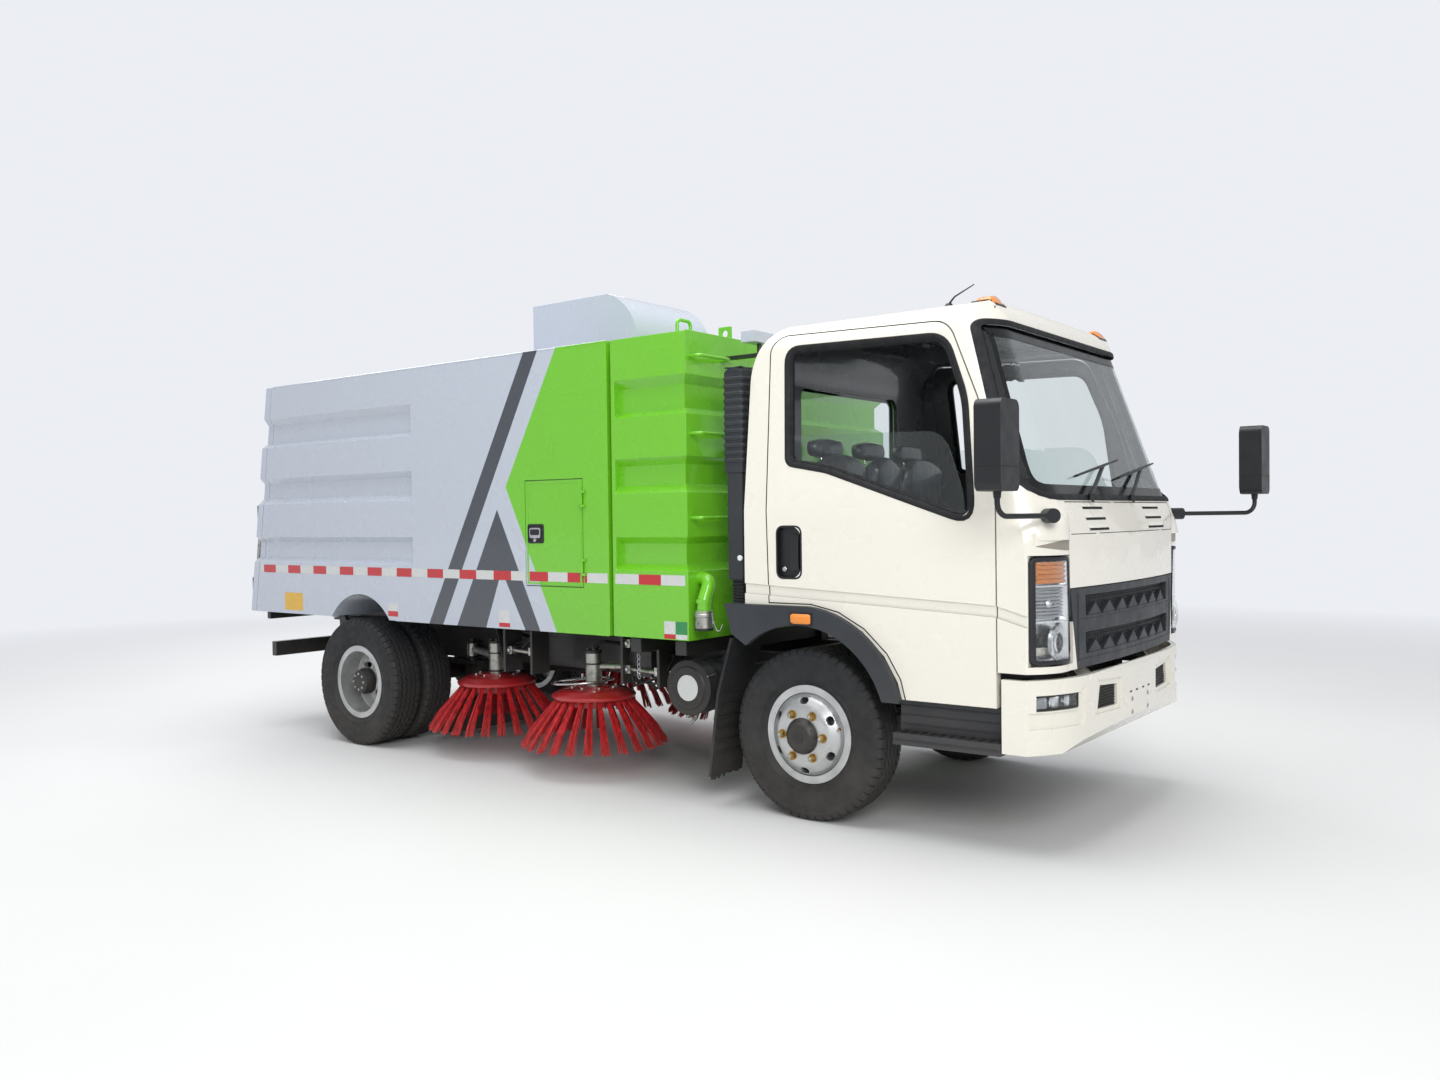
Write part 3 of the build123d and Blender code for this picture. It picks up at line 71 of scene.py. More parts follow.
BRUSHES = (("front", -1597, 650), ("rear", -2490, 580))
BRUSH_Z = 430
MIRRORS = ((1075, -1170), (1490, 1170))
SEATS = (("driver", 430, 480), ("mate", -430, 480), ("middle", 0, 320))
DRUM = (-730, -862, 560)
PIPE = (-571, -935)


def at(x, y, z):
    """Row-frame point from a station ahead of the front axle, a width and a height, all in mm."""
    return Vector((FRONT_AXLE + x / 1000, y / 1000, z / 1000))


# Procedural finishes

class Nodes:
    """A short way to write shader node trees."""

    def __init__(self, name):
        self.material = bpy.data.materials.new(name)
        self.material.use_nodes = True
        self.tree = self.material.node_tree
        self.shader = self.tree.nodes["Principled BSDF"]
        self.place = self.node("ShaderNodeTexCoord").outputs["Object"]

    def node(self, kind, inputs=None, **settings):
        made = self.tree.nodes.new(kind)
        for key, value in settings.items():
            setattr(made, key, value)
        for key, value in (inputs or {}).items():
            self.link(value, made.inputs[key])
        return made

    def link(self, value, socket):
        if isinstance(value, bpy.types.NodeSocket):
            self.tree.links.new(value, socket)
        else:
            socket.default_value = value

    def math(self, operation, a, b=0.0, clamp=False):
        return self.node("ShaderNodeMath", {0: a, 1: b}, operation=operation, use_clamp=clamp).outputs[0]

    def texture(self, kind, output, inputs, **settings):
        made = self.node("ShaderNodeTex" + kind, {"Vector": self.place, **inputs}, **settings)
        return made.outputs[output]

    def noise(self, scale, detail=3.0, stretch=None):
        inputs = {"Scale": scale, "Detail": detail}
        if stretch:
            mapping = self.node("ShaderNodeMapping", {"Vector": self.place, "Scale": stretch})
            inputs["Vector"] = mapping.outputs[0]
        return self.texture("Noise", "Fac", inputs)

    def cells(self, scale, **settings):
        return self.texture("Voronoi", "Distance", {"Scale": scale}, **settings)

    def spread(self, value, low, high, start=0.3, end=0.7):
        """The value between start and end, spread out between low and high."""
        return self.node("ShaderNodeMapRange", {"Value": value, "From Min": start, "From Max": end,
                                                "To Min": low, "To Max": high}).outputs[0]

    def mix(self, factor, a, b, **settings):
        return self.node("ShaderNodeMix", {0: factor, 6: a, 7: b}, data_type="RGBA", **settings).outputs[2]

    def bump(self, height, strength, distance=0.001):
        shape = self.node("ShaderNodeBump", {"Height": height, "Strength": strength, "Distance": distance})
        self.link(shape.outputs[0], self.shader.inputs["Normal"])

    def set(self, **values):
        for key, value in values.items():
            self.link(value, self.shader.inputs[key.replace("_", " ")])
        return self.material

    def axes(self):
        return self.node("ShaderNodeSeparateXYZ", {0: self.place}).outputs[:3]


def rgb(code, gain=1.0):
    """Linear colour from a display colour written as hex."""
    parts = [int(code[i:i + 2], 16) / 255 for i in (0, 2, 4)]
    linear = [c / 12.92 if c <= 0.04045 else ((c + 0.055) / 1.055) ** 2.4 for c in parts]
    return tuple(min(1, gain * c) for c in linear) + (1,)


DUST = rgb("8C8172")


def dusty(n, colour, high, amount):
    """Light road dust below a height in metres, thicker toward the ground."""
    near = n.spread(n.axes()[2], amount, 0.0, 0.0, high)
    patchy = n.spread(n.noise(5), 0.5, 1.0)
    return n.mix(n.math("MULTIPLY", near, patchy, clamp=True), colour, DUST)


def paint(name, colour, rough=0.28, coat=0.7, dust=0.25, pick=None):
    """Gloss truck paint with orange peel, slight colour drift and dust low down."""
    n = Nodes(name)
    base = pick(n) if pick else rgb(colour)
    shade = n.mix(n.spread(n.noise(1.1, 2), 0.0, 0.05), base, (0.9, 0.9, 0.91, 1), blend_type="MULTIPLY")
    n.bump(n.noise(190, 1), 0.012, 0.0003)
    return n.set(Base_Color=dusty(n, shade, 1.1, dust), Coat_Weight=coat, Coat_Roughness=0.06,
                 Roughness=n.spread(n.noise(5), rough - 0.03, rough + 0.03), Specular_IOR_Level=0.5)


def plastic(name, colour, rough=0.55, grain=900.0, dust=0.2, bump=0.25):
    """Moulded plastic with a fine leather-like grain."""
    n = Nodes(name)
    shade = n.mix(n.spread(n.noise(3, 4), 0, 1), rgb(colour, 0.85), rgb(colour, 1.2))
    n.bump(n.cells(grain), bump, 0.0006)
    return n.set(Base_Color=dusty(n, shade, 0.9, dust),
                 Roughness=n.spread(n.noise(14, 4), rough - 0.07, rough + 0.1))


def rubber(name, colour, dust=0.2):
    n = Nodes(name)
    shade = n.mix(n.spread(n.noise(5, 5), 0, 1), rgb(colour, 0.8), rgb(colour, 1.35))
    n.bump(n.noise(420, 4), 0.35, 0.0006)
    return n.set(Base_Color=dusty(n, shade, 0.7, dust), Roughness=n.spread(n.noise(25, 4), 0.62, 0.86))


def metal(name, colour, rough=0.35, metallic=1.0, bump=0.1, scale=180, dust=0.2, spots=None):
    n = Nodes(name)
    shade = n.mix(n.spread(n.noise(8, 6), 0, 1), rgb(colour, 0.8), rgb(colour, 1.12))
    if spots:
        shade = n.mix(n.spread(n.noise(30, 6), 0, 1, 0.52, 0.66), shade, rgb(spots))
    n.bump(n.noise(scale, 4), bump, 0.0008)
    return n.set(Base_Color=dusty(n, shade, 0.9, dust), Metallic=metallic,
                 Roughness=n.spread(n.noise(22, 5), rough - 0.08, rough + 0.15))


def glass(name, colour):
    n = Nodes(name)
    return n.set(Base_Color=n.mix(n.spread(n.noise(2), 0, 1), rgb(colour), rgb(colour, 0.95)),
                 Roughness=n.spread(n.noise(5, 5), 0.0, 0.015), Transmission_Weight=1.0, IOR=1.45)


def lens(name, colour, ribs=70.0):
    """Coloured lamp plastic with fine moulded ribs."""
    n = Nodes(name)
    wave = n.texture("Wave", "Fac", {"Scale": ribs, "Distortion": 0.4}, bands_direction="Z")
    n.bump(wave, 0.5, 0.002)
    return n.set(Base_Color=n.mix(wave, rgb(colour, 0.85), rgb(colour, 1.15)),
                 Roughness=n.spread(n.noise(40), 0.08, 0.2), Coat_Weight=0.8, Specular_IOR_Level=0.7)


def reflective(name, colour):
    """Retroreflective tape: small prisms under a clear film."""
    n = Nodes(name)
    prisms = n.cells(260.0, feature="DISTANCE_TO_EDGE")
    n.bump(prisms, 0.2, 0.0005)
    return n.set(Base_Color=n.mix(n.spread(prisms, 1, 0, 0.02, 0.1), rgb(colour), rgb(colour, 0.6)),
                 Roughness=0.22, Coat_Weight=0.6)


def bristle(name):
    n = Nodes(name)
    strand = n.mix(n.spread(n.noise(60, 2, (1, 1, 0.2)), 0, 1), rgb("8E0F16"), rgb("D92A2E"))
    n.bump(n.noise(500, 2, (1, 1, 0.15)), 0.3, 0.0006)
    return n.set(Base_Color=dusty(n, strand, 0.3, 0.35), Roughness=n.spread(n.noise(30), 0.4, 0.62))


def wrapped_fabric(name):
    """Dark woven cloth under a creased clear film, as delivered."""
    n = Nodes(name)
    weave = n.texture("Wave", "Fac", {"Scale": 420.0}, bands_direction="DIAGONAL")
    crease = n.spread(n.cells(14.0, feature="DISTANCE_TO_EDGE"), 0, 1, 0.0, 0.09)
    n.bump(n.math("ADD", crease, n.noise(26, 4, (1, 1, 0.3))), 0.5, 0.004)
    return n.set(Base_Color=n.mix(weave, rgb("26292F"), rgb("3B3F47")), Coat_Weight=0.7, Coat_Roughness=0.12,
                 Roughness=n.spread(n.noise(18, 4), 0.35, 0.6))


CREAM, LINING, GREY, GREEN, SLATE = "E9E5D8", "4A4B4E", "B9C0CB", "6DBF1E", "3C4149"
# Corners of each painted area as (station, height), in order round it, up to the body's top and bottom
GREEN_EDGE = ((-1533, 2346), (-1942, 1608), (-1552, 812))
LONG_STRIPE = ((-1783, 2346), (-1672, 2346), (-2500, 812), (-2629, 812))
TALL_A = ((-2016, 1483), (-1680, 812), (-2373, 812))
A_GAP = ((-1985, 1140), (-1798, 812), (-2121, 812))
EDGE_SOFT = 0.0004


def livery(n):
    """Body colours by place: grey to the rear, green forward of a bent edge, and slate stripes."""
    x, _, z = n.axes()

    def beyond(p, q):
        """One on the left of the line from p to q, as (station, height) in mm."""
        (px, pz), (qx, qz) = [(FRONT_AXLE + a / 1000, b / 1000) for a, b in (p, q)]
        length = hypot(qx - px, qz - pz)
        ax, az = -(qz - pz) / length, (qx - px) / length
        value = n.math("ADD", n.math("MULTIPLY", x, ax), n.math("MULTIPLY", z, az))
        edge = ax * px + az * pz
        return n.spread(value, 0.0, 1.0, edge - EDGE_SOFT, edge + EDGE_SOFT)

    def area(corners):
        """One inside a convex area whose corners go clockwise, its level top and bottom edges left open."""
        mask = None
        for p, q in zip(corners, corners[1:] + corners[:1]):
            if p[1] != q[1]:
                test = beyond(q, p)
                mask = test if mask is None else n.math("MULTIPLY", mask, test)
        return mask

    top, apex, foot = GREEN_EDGE
    green = n.math("MULTIPLY", beyond(top, apex), beyond(apex, foot))
    letter = n.math("MULTIPLY", area(TALL_A), n.math("SUBTRACT", 1.0, area(A_GAP)))
    dark = n.math("MAXIMUM", area(LONG_STRIPE), letter)
    return n.mix(dark, n.mix(green, rgb(GREY), rgb(GREEN)), rgb(SLATE))


def cab_colours(n):
    """Cream outside, and grey lining on what faces the cab's middle."""
    normal = n.node("ShaderNodeTexCoord").outputs["Normal"]
    away = n.node("ShaderNodeVectorMath", {0: n.place, 1: at(400, 0, 1600)}, operation="SUBTRACT").outputs[0]
    facing = n.node("ShaderNodeVectorMath", {0: normal, 1: away}, operation="DOT_PRODUCT").outputs["Value"]
    return n.mix(n.math("LESS_THAN", facing, -0.05), rgb(CREAM), rgb(LINING))


M = {
    "body": paint("body_paint", GREY, pick=livery),
    "grey": paint("grey_paint", GREY),
    "green": paint("green_paint", GREEN),
    "cab": paint("cab_paint", CREAM, pick=cab_colours, dust=0.06),
    "cream": paint("cream_paint", CREAM, dust=0.06),
    # A darker cream sheet painted as the shadow under each corner vane.
    "shade": paint("painted_vane_shadow", "8F887C", rough=0.45, coat=0.1, dust=0.1),
    "red": paint("red_paint", "B5141F", rough=0.3, dust=0.15),
    "black": paint("black_paint", "1C1D20", rough=0.42, coat=0.2, dust=0.2),
    "silver": metal("wheel_silver", "C9CBCC", rough=0.34, metallic=0.75, bump=0.04, dust=0.3),
    "steel": metal("bright_steel", "C4C6C8", rough=0.22, bump=0.03),
    "zinc": metal("zinc_plate", "B9BAB2", rough=0.38, bump=0.12, spots="8B8D88"),
    "brass": metal("yellow_zinc", "B89A55", rough=0.36, spots="8E6A3C"),
    "cast": metal("cast_iron", "3A3B3D", rough=0.6, metallic=0.55, bump=0.5, scale=240, dust=0.25,
                  spots="4D3A2E"),
    "chrome": metal("lamp_chrome", "ECEEF0", rough=0.26, bump=0.0, dust=0.0),
    "charcoal": plastic("charcoal_plastic", "2B2E33", rough=0.5),
    "dark": plastic("dark_plastic", "16171A", rough=0.42, bump=0.1),
    "dash": plastic("dash_plastic", "44474B", rough=0.6),
    "frit": plastic("glass_frit", "0A0B0C", rough=0.15, grain=1500.0, bump=0.02, dust=0.0),
    "rubber": rubber("black_rubber", "191A1C"),
    "tyre": rubber("tyre_rubber", "1D1E20", dust=0.14),
    "seal": rubber("glazing_rubber", "0F1012", dust=0.0),
    "glass": glass("window_glass", "E9F1EF"),
    "lamp_glass": glass("lamp_glass", "FAFBFB"),
    "amber": lens("amber_lens", "F08A12"),
    "red_lens": lens("red_lens", "B31217"),
    "white_lens": lens("white_lens", "E8EAEC"),
    "ribbed": lens("ribbed_reflector", "B7BBC0", ribs=150.0),
    "tape_red": reflective("tape_red", "C4101B"),
    "tape_white": reflective("tape_white", "D4D6D3"),
    "yellow": reflective("plate_yellow", "E3B21C"),
    "plate_green": reflective("plate_green", "1F8A4C"),
    "bristle": bristle("bristle_red"),
    "seat": wrapped_fabric("seat_fabric"),
}


# Outlines

CORNER_PARTS = 6


def rounded(outline, r):
    """A closed outline with its corners rounded by r, or by a corner's own third value."""
    points = []
    count = len(outline)
    for i in range(count):
        before, here, after = (Vector(outline[(i + k) % count][:2]) for k in (-1, 0, 1))
        turn = outline[i][2] if len(outline[i]) > 2 else r
        to_before, to_after = before - here, after - here
        half = to_before.angle(to_after) / 2
        reach = min(turn / max(0.05, abs(sin(half) / cos(half))) if half < 1.55 else 0,
                    to_before.length * 0.48, to_after.length * 0.48)
        start, end = here + to_before.normalized() * reach, here + to_after.normalized() * reach
        for k in range(CORNER_PARTS + 1):
            t = k / CORNER_PARTS
            points.append(start * (1 - t) ** 2 + here * 2 * t * (1 - t) + end * t * t)
    clean = [points[0]]
    for p in points[1:]:
        if (p - clean[-1]).length > 0.5 and (p - points[0]).length > 0.5:
            clean.append(p)
    return clean


def rect(u0, u1, v0, v1, r):
    """A rectangle with rounded corners."""
    return rounded([(u0, v0), (u1, v0), (u1, v1), (u0, v1)], r)


def normals(loop):
    """Outward unit normals of a closed loop."""
    turn = 1 if sum(a[0] * b[1] - b[0] * a[1] for a, b in zip(loop, loop[1:] + loop[:1])) > 0 else -1
    result = []
    for i in range(len(loop)):
        along = (Vector(loop[(i + 1) % len(loop)]) - Vector(loop[i - 1])).normalized()
        result.append(Vector((along.y, -along.x)) * turn)
    return result


def grown(loop, d):
    return [Vector(p) + n * d for p, n in zip(loop, normals(loop))]


def dense(loop, step):
    """The same loop with no side longer than a step."""
    points = []
    for a, b in zip(loop, loop[1:] + loop[:1]):
        count = max(1, int((b - a).length / step))
        points += [a.lerp(b, k / count) for k in range(count)]
    return points


def steps(low, high, count):
    return [low + (high - low) * k / count for k in range(count + 1)]


def turns(count, start=0.0):
    """Angles evenly round a circle."""
    return [start + 2 * pi * k / count for k in range(count)]


def polar(u, v, r, a):
    return u + r * cos(a), v + r * sin(a)


# Piece building

def linked(name, bm):
    """A scene object from a finished bmesh."""
    bmesh.ops.recalc_face_normals(bm, faces=bm.faces)
    mesh = bpy.data.meshes.new(name)
    bm.to_mesh(mesh)
    bm.free()
    made = bpy.data.objects.new(name, mesh)
    bpy.context.scene.collection.objects.link(made)
    return made


class Piece:
    """Gathers closed forms, each in a finish, into one object. Points are as at() takes them, in mm."""

    def __init__(self, name):
        self.name = name
        self.bm = bmesh.new()
        self.materials = []
        self.current = 0

    def use(self, key):
        if M[key] not in self.materials:
            self.materials.append(M[key])
        self.current = self.materials.index(M[key])
        return self

    def add(self, points, faces):
        verts = [self.bm.verts.new(at(*p)) for p in points]
        for f in faces:
            if len(set(f)) > 2:
                self.bm.faces.new([verts[i] for i in f]).material_index = self.current
        return self

    def loft(self, rings, closed=False, caps=True):
        """Joins rings of as many points each; closed joins the last ring to the first."""
        count = len(rings[0])
        points = [p for ring in rings for p in ring]
        faces = []
        for k in range(len(rings) if closed else len(rings) - 1):
            a, b = k * count, (k + 1) % len(rings) * count
            faces += [(a + i, a + (i + 1) % count, b + (i + 1) % count, b + i) for i in range(count)]
        if caps and not closed:
            faces.append(tuple(range(count))[::-1])
            faces.append(tuple(range(len(points) - count, len(points))))
        return self.add(points, faces)

    def box(self, x0, x1, y0, y1, z0, z1):
        section = ((y0, z0), (y1, z0), (y1, z1), (y0, z1))
        return self.loft([[(x, y, z) for y, z in section] for x in (x0, x1)])

    def tube(self, points, r, sides=12, closed=False):
        """A round bar along points; its radius may be a list of one for each point."""
        points = [Vector(p) for p in points]
        rings = []
        side = None
        last = len(points) - 1
        for i, p in enumerate(points):
            before = points[i - 1] if i or closed else p
            after = points[(i + 1) % len(points)] if i < last or closed else p
            along = (after - before).normalized()
            if side is None:
                side = along.orthogonal().normalized()
            side = (side - along * side.dot(along)).normalized()
            up = along.cross(side)
            radius = r[i] if isinstance(r, list) else r
            rings.append([p + (side * cos(a) + up * sin(a)) * radius for a in turns(sides)])
        return self.loft(rings, closed=closed)

    def rod(self, a, b, r, sides=16, r_end=None):
        return self.tube([a, b], [r, r if r_end is None else r_end], sides)

    def lathe(self, profile, centre, axis, sides=48):
        """Turns a closed profile of (along, radius) points about an axis."""
        axis = Vector(axis).normalized()
        side = axis.orthogonal().normalized()
        up = axis.cross(side)
        centre = Vector(centre)
        rings = []
        for angle in turns(sides):
            out = side * cos(angle) + up * sin(angle)
            rings.append([centre + axis * a + out * max(r, 0.01) for a, r in profile])
        return self.loft(rings, closed=True)

    def hexagon(self, centre, axis, r, height):
        """A bolt head or nut with a chamfered end."""
        foot, axis = Vector(centre), Vector(axis)
        return self.tube([foot, foot + axis * height * 0.86, foot + axis * height], [r, r, r * 0.88], 6)

    def band(self, loop, section, surface):
        """A strip along a loop of (u, v); its section is (distance out, height) points on the surface."""
        rings = [[surface(p[0] + n[0] * d, p[1] + n[1] * d, h) for d, h in section]
                 for p, n in zip(loop, normals(loop))]
        return self.loft(rings, closed=True)

    def plate(self, outline, surface, low, high):
        """A flat or gently curved plate between two heights over a surface."""
        triangles = tessellate_polygon([[Vector((p[0], p[1], 0)) for p in outline]])
        count = len(outline)
        points = [surface(p[0], p[1], h) for h in (low, high) for p in outline]
        faces = [tuple(t) for t in triangles] + [tuple(i + count for i in reversed(t)) for t in triangles]
        faces += [(i, (i + 1) % count, (i + 1) % count + count, i + count) for i in range(count)]
        return self.add(points, faces)

    def patch(self, us, vs, surface, low, high):
        """A closed curved plate over a grid on a surface; its top may be a function of u and v."""
        nu, nv = len(us), len(vs)
        points = [surface(u, v, low) for u in us for v in vs]
        points += [surface(u, v, high(u, v) if callable(high) else high) for u in us for v in vs]
        faces = []
        for layer in (0, nu * nv):
            for i in range(nu - 1):
                for j in range(nv - 1):
                    a = layer + i * nv + j
                    faces.append((a, a + 1, a + nv + 1, a + nv))
        rim = [i * nv for i in range(nu)] + [(nu - 1) * nv + j for j in range(1, nv)]
        rim += [i * nv + nv - 1 for i in range(nu - 2, -1, -1)] + [j for j in range(nv - 2, 0, -1)]
        faces += [(a, b, b + nu * nv, a + nu * nv) for a, b in zip(rim, rim[1:] + rim[:1])]
        return self.add(points, faces)

    def done(self, body, slot, replaces=(), bevel=0.0, angle=32):
        made = linked(self.name, self.bm)
        for material in self.materials:
            made.data.materials.append(material)
        soften(made, bevel, angle)
        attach(made, body)
        if replaces:
            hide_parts(*replaces)


def smoothing():
    """Geometry nodes that shade smooth across flat joins and leave edges over an angle sharp."""
    tree = bpy.data.node_groups.new("smooth_by_angle", "GeometryNodeTree")
    tree.interface.new_socket("Geometry", in_out="INPUT", socket_type="NodeSocketGeometry")
    tree.interface.new_socket("Limit", in_out="INPUT", socket_type="NodeSocketFloat")
    tree.interface.new_socket("Geometry", in_out="OUTPUT", socket_type="NodeSocketGeometry")
    start, end, plain, faces, edges, angle, over = [tree.nodes.new(kind) for kind in (
        "NodeGroupInput", "NodeGroupOutput", "GeometryNodeRemoveAttribute", "GeometryNodeSetShadeSmooth",
        "GeometryNodeSetShadeSmooth", "GeometryNodeInputMeshEdgeAngle", "FunctionNodeCompare")]
    plain.inputs["Name"].default_value = "custom_normal"
    edges.domain = "EDGE"
    edges.inputs["Shade Smooth"].default_value = False
    for source, target in ((start.outputs[0], plain.inputs[0]), (plain.outputs[0], faces.inputs[0]),
                           (faces.outputs[0], edges.inputs[0]), (angle.outputs[0], over.inputs[0]),
                           (start.outputs[1], over.inputs[1]), (over.outputs[0], edges.inputs["Selection"]),
                           (edges.outputs[0], end.inputs[0])):
        tree.links.new(source, target)
    return tree


SMOOTH = smoothing()


def soften(thing, bevel, angle=32):
    """Rounds sharp edges by a small radius and shades the rest smooth."""
    if bevel:
        rounding = thing.modifiers.new("rounding", "BEVEL")
        rounding.width = bevel
        rounding.segments = 2
        rounding.limit_method = "ANGLE"
        rounding.angle_limit = radians(angle)
        rounding.use_clamp_overlap = True
    shading = thing.modifiers.new("shading", "NODES")
    shading.node_group = SMOOTH
    shading["Socket_1"] = radians(angle)
    weighting = thing.modifiers.new("weighting", "WEIGHTED_NORMAL")
    weighting.keep_sharp = True


# Finish, edge radius and names of the carried-over CAD nodes

for key, bevel, names in (
        ("black", 0.003, "frame_rails crossmembers subframe driveshaft leaf_springs underrun_bar"),
        ("black", 0.003, "suction_unit tip_barrel tail_lamps fuel_tank"),
        ("cast", 0.006, "engine_block rear_axle front_axle knuckle_right knuckle_left"),
        ("cab", 0.004, "cab_shell front_panel door_right door_left"),
        ("cream", 0.006, "bumper"),
        ("charcoal", 0.004, "grille fender_flares steps air_intake"),
        ("rubber", 0.003, "front_mudflaps"),
        ("dash", 0.012, "dashboard"),
        ("dark", 0.003, "steering_wheel wipers mirrors headlamps"),
        ("glass", 0.0, "cab_glass door_glass_right door_glass_left"),
        ("body", 0.006, "hopper_shell rear_hatch water_tank"),
        ("body", 0.002, "locker_door"),
        ("grey", 0.01, "fan_hood"),
        ("green", 0.003, "tank_rungs hydrant_pipe"),
        ("steel", 0.002, "tip_rod"),
        ("silver", 0.002, "rim_front_right rim_front_left rim_rear_right rim_rear_left"),
        ("tyre", 0.004, "tyre_front_right tyre_front_left tyre_rear_right tyre_rear_left"),
        ("seat", 0.01, "seats"),
        ("zinc", 0.003, "brush_arm_front_right brush_arm_front_left"),
        ("zinc", 0.003, "brush_arm_rear_right brush_arm_rear_left"),
        ("red", 0.002, "brush_front_right brush_front_left brush_rear_right brush_rear_left")):
    for name in names.split():
        nodes[name].data.materials.clear()
        nodes[name].data.materials.append(M[key])
        weld = nodes[name].modifiers.new("weld", "WELD")
        weld.merge_threshold = 0.00002
        soften(nodes[name], bevel)


# Surfaces that pieces sit on, each giving the point at (u, v) and a height above it

def level(u, v, h):
    return u, v, h


def cab_width(z):
    return CAB_HALF - max(0, z - PILLAR_Z) * (CAB_HALF - ROOF_HALF) / (ROOF_EDGE_Z - PILLAR_Z)


def cab_side(s):
    return lambda x, z, h: (x, s * (cab_width(z) + h), z)


def body_side(s):
    return lambda x, z, h: (x, s * (BODY_HALF + h), z)


def tail_bar(y, z, h):
    return UNDERRUN_FACE - h, y, z


def screen_x(y, z):
    """Station of the windscreen, a leaning plane with rounded corners."""
    (low_x, low_z), (high_x, high_z) = SCREEN_LOW, SCREEN_HIGH
    over = max(0, abs(y) - cab_width(z) + SCREEN_R)
    front = low_x + (high_x - low_x) * (z - low_z) / (high_z - low_z)
    return front - SCREEN_R + sqrt(max(0, SCREEN_R ** 2 - over ** 2))


def screen(y, z, h):
    across = (screen_x(y + 1, z) - screen_x(y - 1, z)) / 2
    upward = (screen_x(y, z + 1) - screen_x(y, z - 1)) / 2
    return Vector((screen_x(y, z), y, z)) + Vector((1, -across, -upward)).normalized() * h


def onto(facing, *names):
    """The outside of CAD nodes seen from one side, as a surface over the two other axes."""
    axis = {"front": 0, "rear": 0, "left": 1, "right": 1, "top": 2}[facing]
    out = Vector((0, 0, 0))
    out[axis] = -1 if facing in ("rear", "right") else 1
    points, faces = [], []
    for name in names:
        mesh = nodes[name].data
        start = len(points)
        points += [v.co.copy() for v in mesh.vertices]
        faces += [tuple(start + i for i in f.vertices) for f in mesh.polygons]
    tree = BVHTree.FromPolygons(points, faces)

    def surface(u, v, h):
        far = at(*{0: (0, u, v), 1: (u, 0, v), 2: (u, v, 0)}[axis]) + out * 9
        place = tree.ray_cast(far, -out)[0]
        if place is None:
            near = tree.find_nearest(far - out * 8)[0]
            place = far.copy()
            place[axis] = near[axis]
        place = place + out * h / 1000
        return (place.x - FRONT_AXLE) * 1000, place.y * 1000, place.z * 1000

    return surface


def on_side(surface, s):
    """A surface over widths that count outward on one side."""
    return lambda y, z, h: surface(s * y, z, h)


cab_front = onto("front", "cab_shell")
cab_roof = onto("top", "cab_shell")
lamp_front = onto("front", "headlamps")
bumper_face = onto("front", "bumper")
LAMP_FLOOR_X = 1100.5


def lamp_face(y, z, h):
    """The headlamp's front, no deeper than the cab's side wall behind it."""
    place = lamp_front(y, z, h)
    return max(place[0], LAMP_FLOOR_X), place[1], place[2]


def bumper_front(y, z, h):
    """The bumper's upright front, carried across its openings."""
    return bumper_face(y, BUMPER_FLAT_Z, h)[:2] + (z,)


def cornerward(low, high, count):
    """Widths closer together toward the cab's corner."""
    return [low + (high - low) * sin(pi / 2 * k / count) for k in range(count + 1)]


# Wheels

TREAD_PITCHES = 54
STUD_CIRCLE = 111.1
SIDE_WALL = [(68, 207), (72, 232), (79, 235), (83, 242), (90, 250), (96, 256), (99, 258), (101, 262),
             (99, 266), (102, 276), (106, 296), (107.3, 316), (106.8, 330), (107.5, 332), (107.5, 336),
             (106.4, 338), (105.4, 352), (103.6, 364), (104.6, 366), (104.6, 369), (102.4, 372)]
SHOULDER = [(99.5, 383), (95.5, 391), (90, 397), (85, 399.8), (78, 401)]
GROOVES = [(50, 9), (17, 8), (-17, 8), (-50, 9)]
GROOVE_DEPTH, SHOULDER_NOTCH, ZIGZAG = 11, 7, 5


def tread_ring(piece, x, y, s):
    """A truck tyre: moulded sidewalls, zigzag grooves and notched shoulders."""
    side = [(u, r, "wall") for u, r in SIDE_WALL] + [(u, r, "shoulder") for u, r in SHOULDER]
    middle = []
    for c, width in GROOVES:
        lips = ((width / 2 + 0.6, 0), (width / 2, GROOVE_DEPTH))
        for e in (1, -1):
            middle += [(c + e * half, 402 - 0.0003 * c * c - depth, "tread") for half, depth in lips[::e]]
    section = side + middle + [(-u, r, kind) for u, r, kind in reversed(side)]
    rings = []
    for start in turns(TREAD_PITCHES):
        for t in (0.0, 0.08, 0.1, 0.5, 0.9, 0.92):
            a = start + 2 * pi * t / TREAD_PITCHES
            weave = ZIGZAG * (1 - abs(2 * t - 1) * 2)
            notch = SHOULDER_NOTCH if t < 0.09 or t > 0.91 else 0
            ring = []
            for u, r, kind in section:
                r -= notch if kind == "shoulder" else 0
                u += weave if kind == "tread" else 0
                ring.append((x + r * sin(a), s * (y + u), TYRE_R + r * cos(a)))
            rings.append(ring)
    piece.loft(rings, closed=True)


def nut(piece, x, y, z, s):
    """A wheel nut on its washer with the stud's end standing out."""
    piece.use("brass").rod((x, y, z), (x, y + s * 3, z), 22.1, 20)
    piece.hexagon((x, y + s * 3, z), (0, s, 0), 17, 19)
    piece.use("zinc").tube([(x, y + s * d, z) for d in (10, 30, 32)], [9, 9, 7], 12)


